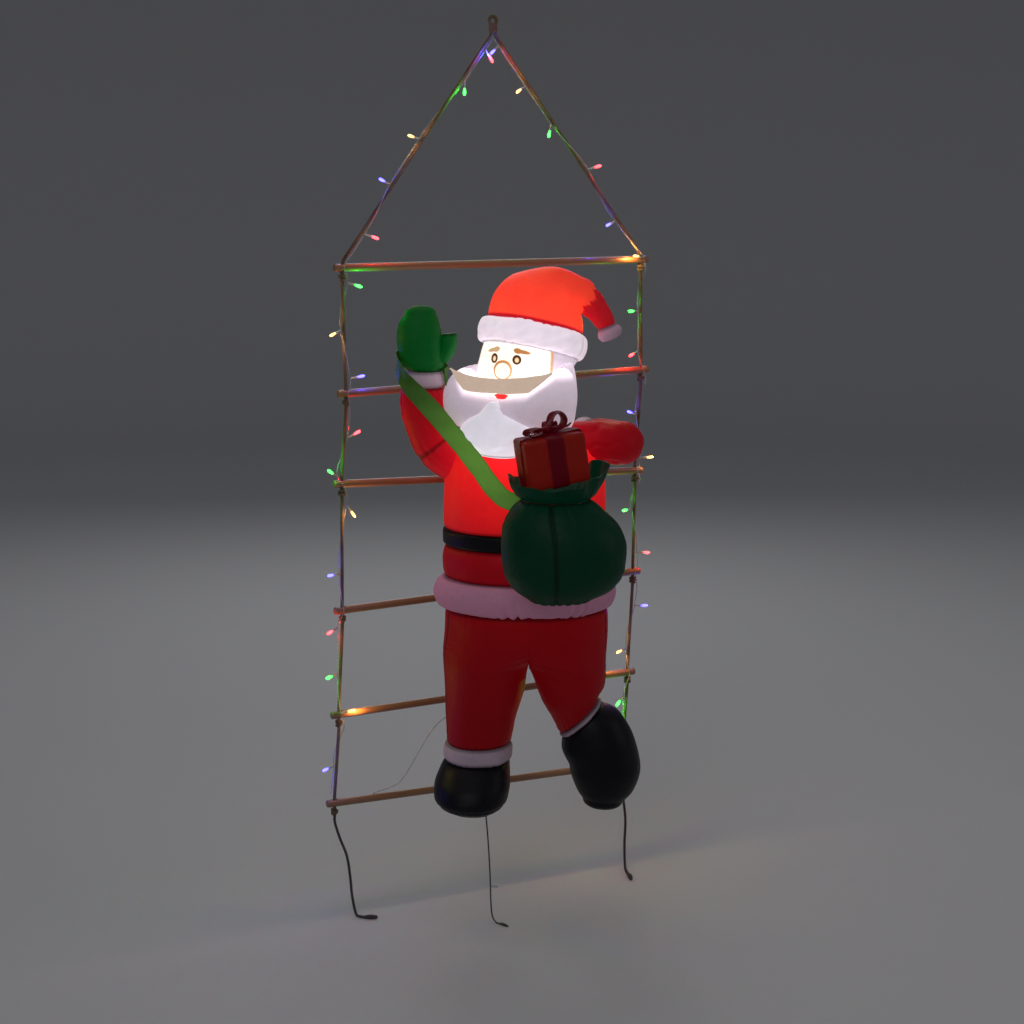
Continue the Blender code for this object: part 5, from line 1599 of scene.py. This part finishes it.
# One half of the flap: place across and back, height of its top and of its edge
half = (
    (109, -115, 939, 934), (96, -122, 935, 921), (80, -130, 933, 907),
    (69, -135, 931, 899), (40, -138, 927, 896), (14, -136, 925, 895),
)
rows = [(-x, y, top, low) for x, y, top, low in half] + [(0, -134, 925, 895)]
rows += [(x, y, top, low) for x, y, top, low in reversed(half)]


def flap_folds(cloth):
    off = cloth.points[..., 0]
    cloth.rise -= 0.0012 * np.exp(-((off / 0.004) ** 2))
    cloth.swells(0.05, 0.0008)


section("moustache_flap", "felt_tan", FELT_TAN, [
    (x, y + FELT_HALF, (top + low) / 2, FELT_HALF, (top - low) / 2, 0) for x, y, top, low in rows
], flap_folds, place=FACE_PLACE, fill=0.5, node="moustache", frame=level, power=2.6, domes=(3, 3),
        across=0.0014, along=0.0018, seed=23)

# Hat
# A fat white brim, a red cap that droops to the right and a white tip. The lamp in the head makes the
# cap glow orange. A deep crease runs across the cap where it starts to droop, and what hangs beyond it
# gets little of the light, so its colour and its glow are painted darker there, as painted shade.
BRIM_WHITE = nylon("brim_white", (0.66, 0.61, 0.72), 0.58, (1.0, 0.86, 0.95), 0.72, 0.0, 0.13, 0.10, 0.0004)
HAT_RED = nylon("hat_red", (0.56, 0.012, 0.016), 0.42, (1.0, 0.060, 0.026), 1.15, 0.0, 0.150, 0.03)
# The cap's glow is darker and redder along the seam mark, which past the crease is painted shade.
tree = HAT_RED.node_tree
lamp = next(n for n in tree.nodes if n.type == "GROUP" and n.node_tree == glow)
feed(lamp, {"Tint": blend(tree, stored(tree, "seam"), (1.0, 0.060, 0.026), (0.85, 0.0, 0.022))})
TIP_LILAC = nylon("tip_lilac", (0.46, 0.33, 0.43), 0.60, (0.9, 0.45, 0.62), 0.22, 0.0, 0.13, 0.02, 0.0005)
# How far up the cap its crease is
DROOP = 0.198


def brim_folds(cloth):
    cloth.puckers_at("start", 0.020, 0.018, 0.0020, 0.0022)
    cloth.puckers_at("end", 0.020, 0.018, 0.0020, 0.0022)
    for begin, finish, width, depth in (
        ((232, 0.012), (262, 0.052), 0.0060, 0.0042), ((252, 0.010), (290, 0.046), 0.0050, 0.0036),
        ((272, 0.014), (312, 0.058), 0.0060, 0.0046), ((205, 0.014), (232, 0.050), 0.0060, 0.0036),
        ((300, 0.010), (330, 0.040), 0.0050, 0.0036), ((170, 0.016), (205, 0.054), 0.0060, 0.0034),
    ):
        cloth.crease(begin, finish, width, depth)
    cloth.seam_down(332, spacing=0.012, reach=0.020, depth=0.0024, pinch=0.0034, seam_and_shade=0.5)
    cloth.wrinkles(0.07, 0.0010)
    cloth.swells(0.08, 0.0018)


section("brim_ring", "nylon_white", BRIM_WHITE, (
    brim_station(-BRIM_HALF, 96),
    brim_station(-0.7 * BRIM_HALF, 107),
    brim_station(0, 112),
    brim_station(0.7 * BRIM_HALF, 108),
    brim_station(BRIM_HALF, 98),
), brim_folds, node="hat_brim", along=0.0026, seed=24)


def hat_folds(cloth):
    cloth.puckers_at("start", 0.020, 0.020, 0.0014)
    cloth.puckers_at("end", 0.010, 0.014, 0.0012)
    cloth.seam_down(90, depth=0.0010)
    turn = np.radians(cloth.turn)
    jagged = 0.005 * np.sin(3 * turn + 1) + 0.003 * np.sin(8 * turn) + 0.002 * np.sin(17 * turn + 2)
    beyond = cloth.start - DROOP - jagged
    cloth.rise -= 0.0062 * np.exp(-((beyond / 0.0055) ** 2))
    cloth.rise += 0.0030 * np.exp(-(((beyond + 0.011) / 0.006) ** 2))
    cloth.rise -= 0.0024 * np.exp(-(((beyond - 0.030) / 0.006) ** 2)) * (0.5 + 0.5 * np.sin(2 * turn))
    # Past the crease the seam mark is raised as well: painted shade, which darkens the cap's colour and its
    # glow there.
    cloth.seam_and_shade = np.maximum(cloth.seam_and_shade, 0.85 * np.clip(0.5 + beyond / 0.004, 0, 1))
    for first, last in ((288, 300), (304, 314), (318, 330), (334, 344)):
        cloth.crease((first, 0.050), (last, 0.150), 0.0060, 0.0020)
    cloth.swells(0.09, 0.0018)


section("cap", "nylon_red", HAT_RED, (
    brim_station(BRIM_HALF + SEAM_GAP, 98),
    (25, 10, 1055, 91, 92, 15, 8),
    (42, 12, 1087, 69, 74, 30, 5),
    (75, 12, 1092, 48, 53, 62, 2),
    (108, 10, 1079, 35, 38, 100, 0),
    (134, 6, 1058, 27, 29, 131, 0),
    (153, 3, 1036, 22, 24, 149, 0),
    (163, 1, 1017, 20, 21, 158, 0),
), hat_folds, node="hat", seed=25)


def tip_folds(cloth):
    cloth.puckers_at("start", 0.009, 0.012, 0.0014, 0.0014)
    cloth.seam_down(90, depth=0.0006)
    cloth.swells(0.03, 0.0010)


section("cap_tip", "nylon_white", TIP_LILAC, (
    (163.2, 1, 1016.5, 20, 20, 158, 0),
    (169, 0, 1003, 25, 24, 156, 0),
    (172, 0, 996, 22, 21, 156, 0),
), tip_folds, node="hat_tip", domes=(0, 6), across=0.0020, along=0.0022, seed=26)

# Sack
# A round bag of dark green nylon with a seam down its front and a gathered bottom. Its mouth is a
# flared collar of double cloth with a ruffled rim.
SACK_GREEN = nylon("sack_green", (0.0002, 0.013, 0.004), 0.40, (0.0, 0.16, 0.08), 0.0, 0.05, 0.25, 0.03)
MOUTH = 706
SACK_MIDDLE = (0.057, -0.230)


def sack_folds(cloth):
    cloth.puckers_at("end", 0.018, 0.040, 0.0024)
    cloth.seam_down(262, spacing=0.030, reach=0.016, depth=0.0010, pinch=0.0020)
    for turn in (352, 82, 172):
        cloth.seam_down(turn, depth=0.0014)
    low = cloth.start - cloth.start.min()
    turn = np.radians(cloth.turn)
    wave = (0.5 + 0.5 * np.cos(22 * turn + 1.3 * np.sin(2 * turn) + np.sin(5 * turn + 2))) ** 2
    kept = np.clip(0.5 + 0.5 * np.cos(turn - 5.6) + 0.3 * np.sin(5 * turn), 0.15, 1)
    cloth.rise -= 0.0046 * kept * (wave - 0.35) * np.exp(-((low - 0.062) / 0.034) ** 2)
    cloth.swells(0.12, 0.0022)


section("sack_panels", "nylon_dark_green", SACK_GREEN, (
    (66, -229, 512, 62, 54),
    (71, -231, 535, 97, 82),
    (74, -231, 570, 117, 96),
    (73, -231, 610, 121, 98),
    (68, -231, 650, 113, 92),
    (60, -231, 684, 90, 76),
    (56, -230, MOUTH, 68, 60),
), sack_folds, node="sack", domes=(8, 0), seed=27)

COLLAR_HEIGHT = 0.038
COLLAR_LIFT = 0.330
COLLAR_WALL = 0.0016
# Half sizes of the collar, from its foot up to its rim
COLLAR_FLARE = ((0, 0.22, 0.58, 1.0), (64, 77, 88, 95), (56, 67, 76, 83))
around, tall = 420, 20
turn = np.linspace(0, 2 * math.pi, around, endpoint=False)
rings = []
for inner in (False, True):
    for i in range(tall + 1):
        up = i / tall if not inner else 1 - i / tall
        if inner and i == tall:
            up = 0.12
        width, depth = [np.interp(up, COLLAR_FLARE[0], halves) * SHARE for halves in COLLAR_FLARE[1:]]
        ruffle = 0.07 * up**1.4
        wave = 1 + ruffle * np.cos(5 * turn) + 0.022 * up * np.cos(13 * turn + 1 + np.sin(2 * turn))
        wave = wave + 0.012 * np.clip(1 - up * 1.6, 0, 1) * np.cos(34 * turn + np.sin(3 * turn))
        lift = ruffle * (0.150 * np.cos(2 * turn) + 0.060 * np.cos(turn)) + 0.0022 * up * np.cos(9 * turn)
        lift = lift + ruffle * COLLAR_LIFT * np.maximum(np.cos(turn - 0.45), 0) ** 6
        inset = COLLAR_WALL if inner else 0
        rings.append(np.stack([
            SACK_MIDDLE[0] + (width - inset) * wave * np.cos(turn),
            SACK_MIDDLE[1] + (depth - inset) * wave * np.sin(turn),
            (MOUTH + SEAM_GAP) * SHARE + up * COLLAR_HEIGHT + lift,
        ], 1))
faces = ring_faces(len(rings), around, capped=False)
# The inner wall's lower edge joins the outer one's
last = (len(rings) - 1) * around
faces += [((i + 1) % around, i, last + i, last + (i + 1) % around) for i in range(around)]
collar = piece_of("collar_frill", [(placed(FIGURE_PLACE, np.array(rings)).reshape(-1, 3), faces)])
dress(collar, SACK_GREEN, "nylon_dark_green", "sack_collar")

# Strap of the sack
# A flat band of green cloth. Its colour is painted lighter and it is given a painted glow, for the light
# of the glowing figure behind it. It goes once round the wrist of the waving arm, then straight down to
# the mouth of the sack, where its end is folded over to the right.
STRAP_WIDTH = 0.038
CLOTH_THICKNESS = 0.0025
# Painted light: the lighter green and the glow from the chest lamp stand for light from the figure behind the
# band.
STRAP_GREEN = nylon("strap_green", (0.085, 0.25, 0.045), 0.52, (0.22, 0.46, 0.06), 0.0, 0.62, 0.150, 0.01)
STRAP_RINGS = 180
wrist = Vector((-203, -10, 0)) * SHARE
route = smooth_route([Vector(p) * SHARE for p in (
    (-160, -30, 914), (-158, 0, 920), (-176, 34, 930), (-206, 42, 942), (-238, 28, 950),
    (-255, -8, 946), (-246, -42, 925), (-222, -62, 896), (-196, -72, 870), (-160, -94, 832),
    (-122, -120, 790), (-90, -146, 752), (-66, -168, 722), (-46, -186, 703), (-24, -200, 694),
    (-6, -208, 691),
)], STRAP_RINGS)
last = STRAP_RINGS - 1
rows = []
for i, point in enumerate(route):
    along = (route[min(i + 1, last)] - route[max(i - 1, 0)]).normalized()
    share = min(max((i / last * 25 - 10) / 6, 0), 1)
    out = Vector((point.x - wrist.x, point.y - wrist.y, 0)).normalized()
    out = out.lerp(Vector((-0.45, -0.85, 0.2)), share)
    out = (out - along * out.dot(along)).normalized()
    side = along.cross(out)
    run = i / last * length_of(route)
    narrow = 1 - 0.10 * math.exp(-((i - 70) / 14) ** 2) - 0.12 * math.exp(-((i - last) / 12) ** 2)
    row = []
    for face in (1, -1):
        for k in range(15):
            u = (k / 14 - 0.5) * 2 * face
            curl = 0.0016 * u * u + 0.0012 * math.sin(run * 95 + 2.5 * u) + 0.0008 * math.sin(run * 210 - 3 * u)
            row.append(point + side * u * STRAP_WIDTH / 2 * narrow
                       + out * (face * CLOTH_THICKNESS / 2 * (1 - 0.5 * abs(u) ** 6) + curl))
    rows.append(row)
grid = np.array([[FIGURE_PLACE @ p for p in row] for row in rows])
strap = piece_of("strap_band", [(grid.reshape(-1, 3), ring_faces(*grid.shape[:2]))])
# The band is darker along its hems, and where it is doubled round the wrist
edge = np.zeros(grid.shape[:2])
edge[:, [0, 14, 15, 29]] = 0.9
edge = np.maximum(edge, np.clip(1 - (np.arange(STRAP_RINGS) - 72) / 42, 0, 1)[:, None])
store(strap.data, "seam", edge.ravel())
dress(strap, STRAP_GREEN, "strap_green", "sack_strap")

# Present
# A box of dark red satin with eased edges, leaning in the mouth of the sack. Two broad ribbons cross
# on it under a bow.
GIFT_SIZE = (0.120, 0.086, 0.094)
GIFT_BEVEL = 0.007
RIBBON_WIDTH = 0.032
GIFT_PLACE = (
    FIGURE_PLACE @ Matrix.Translation((0.049, -0.230, 0.783))
    @ Matrix.Rotation(math.radians(16), 4, "Z") @ Matrix.Rotation(math.radians(-9), 4, "Y")
)
GIFT_RED = nylon("gift_red", (0.22, 0.009, 0.006), 0.38, (0.8, 0.03, 0.012), 0.0, 0.09, 0.20, 0.02)
RIBBON_RED = nylon("ribbon_red", (0.125, 0.002, 0.009), 0.34, (0.5, 0.0, 0.02), 0.0, 0.05, 0.20, 0.01, 0.0007)


def puffed_box(name, size, bevel, cuts, puff, seed):
    """A box with rounded edges whose sides swell a little, as a stuffed cloth box has."""
    bm = bmesh.new()
    bmesh.ops.create_cube(bm, size=2)
    bmesh.ops.subdivide_edges(bm, edges=bm.edges, cuts=cuts, use_grid_fill=True)
    points = np.array([v.co for v in bm.verts])
    half = np.array(size) / 2
    flat = points * half
    core = np.clip(flat, -(half - bevel), half - bevel)
    round_way = unit(flat - core)
    shell = core + round_way * bevel
    inner = np.abs(points)
    swell = np.prod(np.cos(np.clip(np.sort(inner, 1)[:, :2], 0, 1) * math.pi / 2), axis=1)
    shell = shell + unit(np.where(inner == inner.max(1)[:, None], points, 0)) * (puff * swell)[:, None]
    shell += round_way * (0.0005 * ripple(shell, 0.035, seed))[:, None]
    for v, co in zip(bm.verts, placed(GIFT_PLACE, shell)):
        v.co = co
    mesh = bpy.data.meshes.new(name)
    bm.to_mesh(mesh)
    bm.free()
    mesh.shade_smooth()
    return add_object(name, mesh)


gift = puffed_box("gift_bag", GIFT_SIZE, GIFT_BEVEL, 40, 0.0006, 31)
dress(gift, GIFT_RED, "gift_red", "gift_box")


def ribbon_loop(radius_x, radius_z, turn):
    """A ribbon round the box, square to X or to Y, as a closed strip with thickness."""
    corners = []
    bevel = GIFT_BEVEL
    for cx, cz, first in ((1, 1, 0), (-1, 1, 90), (-1, -1, 180), (1, -1, 270)):
        for step in range(9):
            angle = math.radians(first + 90 * step / 8)
            corners.append((
                cx * (radius_x - bevel) + bevel * math.cos(angle),
                cz * (radius_z - bevel) + bevel * math.sin(angle), math.cos(angle), math.sin(angle),
            ))
    dense = []
    for a, b in zip(corners, corners[1:] + corners[:1]):
        steps = max(int(math.hypot(b[0] - a[0], b[1] - a[1]) / 0.003), 1)
        dense += [tuple(p + (q - p) * s / steps for p, q in zip(a, b)) for s in range(steps)]
    lots = []
    for face in (1, -1):
        for k in range(13):
            u = (k / 12 - 0.5) * face
            run = np.arange(len(dense))
            lift = 0.0014 if face > 0 else 0.0
            wave = 0.0005 * np.sin(run * 0.35 + 3 * u) * (face > 0)
            off = [(x + nx * (lift + w), u * RIBBON_WIDTH, z + nz * (lift + w))
                   for (x, z, nx, nz), w in zip(dense, wave)]
            lots.append(off)
    grid = np.array(lots).transpose(1, 0, 2)
    grid = placed(GIFT_PLACE, grid @ np.array(Matrix.Rotation(turn, 3, "Z")).T)
    index = np.arange(grid.shape[0] * grid.shape[1]).reshape(grid.shape[:2])
    nxt, after = np.roll(index, -1, 1), np.roll(index, -1, 0)
    quads = np.stack([index, nxt, np.roll(nxt, -1, 0), after], -1).reshape(-1, 4).tolist()
    return grid.reshape(-1, 3), quads


wide, deep, high = [side / 2 + 0.0011 for side in GIFT_SIZE]
ribbon = piece_of("ribbon_bands", [
    ribbon_loop(deep, high, math.pi / 2), ribbon_loop(wide + 0.0007, high + 0.0007, 0),
])
dress(ribbon, RIBBON_RED, "ribbon_red", "gift_ribbon")


BOW_RINGS = 40
BOW_THICKNESS = 0.0016


def strip(points, width, seed):
    """A soft ribbon along the points, with a slight wave across it."""
    line = smooth_route([Vector(p) for p in points], BOW_RINGS)
    middle = sum(line, Vector()) / BOW_RINGS
    rows = []
    for i, point in enumerate(line):
        along = (line[min(i + 1, BOW_RINGS - 1)] - line[max(i - 1, 0)]).normalized()
        side = along.cross(Vector((0, 0, 1)))
        side = (side if side.length > 0.2 else along.cross(point - middle)).normalized()
        if rows and side.dot(last_side) < 0:
            side = -side
        last_side = side
        face = side.cross(along)
        pinch = 0.45 + 0.55 * math.sin(min(i / 12, 1) * math.pi / 2)
        row = []
        for way in (1, -1):
            for k in range(9):
                u = (k / 8 - 0.5) * way
                wave = 0.0012 * math.sin(i * 0.4 + 6 * u + seed)
                row.append(point + side * u * width * pinch + face * (way * BOW_THICKNESS / 2 + wave))
        rows.append(row)
    grid = np.array([[GIFT_PLACE @ p for p in row] for row in rows])
    return grid.reshape(-1, 3), ring_faces(*grid.shape[:2])


top = GIFT_SIZE[2] / 2 + CLOTH_THICKNESS + GAP + 0.0005
# Side views of a loop, as shares of its reach and rise, and of a tail, whose heights are metres
LOOP_PROFILE = ((0, 0.10), (0.45, 0.06), (0.85, 0.18), (1.0, 0.5), (0.85, 0.84), (0.45, 0.80), (0.1, 0.35))
TAIL_PROFILE = ((0.05, 0.005), (0.35, 0.011), (0.7, 0.009), (1, 0.014))
lots = []
for profile, width, heading, rise, reach, seed in (
    (LOOP_PROFILE, 0.8, 195, 0.018, 0.046, 0), (LOOP_PROFILE, 0.8, 12, 0.042, 0.038, 1),
    (LOOP_PROFILE, 0.8, 60, 0.020, 0.036, 2), (TAIL_PROFILE, 0.7, 205, 1, 0.050, 5),
    (TAIL_PROFILE, 0.7, -30, 1, 0.046, 6),
):
    ax, ay = math.cos(math.radians(heading)), math.sin(math.radians(heading))
    points = [(ax * reach * u, ay * reach * u, top + rise * v) for u, v in profile]
    lots.append(strip(points, RIBBON_WIDTH * width, seed))
knot = np.array([(0, 0, top + z) for z in (0.001, 0.004, 0.008, 0.012, 0.0145)])
knot_points, knot_faces = round_tube(knot, [0.007, 0.0105, 0.0112, 0.0095, 0.005], 24)
lots.append((placed(GIFT_PLACE, knot_points), knot_faces))
bow = piece_of("ribbon_bow", lots)
dress(bow, RIBBON_RED, "ribbon_red", "gift_bow")

# Ties behind the figure
# Two short loops of black webbing hold the figure's back to the third and the fourth rung.
WEBBING, tree, shader = new_material("webbing_black", (0.014, 0.014, 0.016), 0.8)
where = place_in(tree)
ribs = add_node(tree, "ShaderNodeTexWave", {
    "Vector": where, "Scale": 300.0, "Distortion": 0.6, "Detail": 1.0}, bands_direction="X").outputs["Fac"]
feed(shader, {
    "Base Color": blend(tree, ribs, (0.006, 0.006, 0.008), (0.030, 0.030, 0.033)),
    "Normal": relief(tree, maths(tree, "ADD", ribs, noise(tree, where, 900.0, 2.0)), 0.0005),
})
TIE_WIDTH = 0.025
TIE_X = -0.019
# Each tie: its rung, and how far forward and how far down it is sewn to the figure
for name, rung, from_y, sewn_drop in (
    ("ladder_tie_upper", 3, -0.075, 0.941), ("ladder_tie_lower", 4, -0.110, 1.192),
):
    drop, shift, tilt = RUNG_HANG[rung - 1]
    centre = Vector((TIE_X, 0, -drop + (TIE_X - shift) * math.tan(math.radians(tilt))))
    radius = RUNG_DIAMETER / 2 + CLOTH_THICKNESS / 2 + 2 * GAP
    sewn = Vector((TIE_X, from_y, -sewn_drop))
    apart = Vector((0, 0, CLOTH_THICKNESS * 0.75))
    bend = [
        centre + Vector((0, math.cos(t), math.sin(t))) * radius
        for t in np.radians(np.linspace(-90, 90, 25))
    ]
    line = [sewn - apart, sewn.lerp(bend[0], 0.5) - apart * 0.5, *bend, sewn.lerp(bend[-1], 0.5) + apart * 0.5,
            sewn + apart]
    rows = []
    for i, point in enumerate(line):
        along = (line[min(i + 1, len(line) - 1)] - line[max(i - 1, 0)]).normalized()
        out = Vector((1, 0, 0)).cross(along)
        row = []
        for face in (1, -1):
            for k in range(9):
                u = (k / 8 - 0.5) * face
                thick = CLOTH_THICKNESS / 2 * (1 - 0.6 * abs(2 * u) ** 8)
                row.append(point + Vector((u * TIE_WIDTH, 0, 0)) + out * face * thick)
        rows.append(row)
    tie = piece_of(name + "_webbing", [(np.array(rows).reshape(-1, 3), ring_faces(len(rows), 18))])
    dress(tie, WEBBING, "webbing_black", name)

# End
# The scene is brought up to date.
bpy.context.view_layer.update()
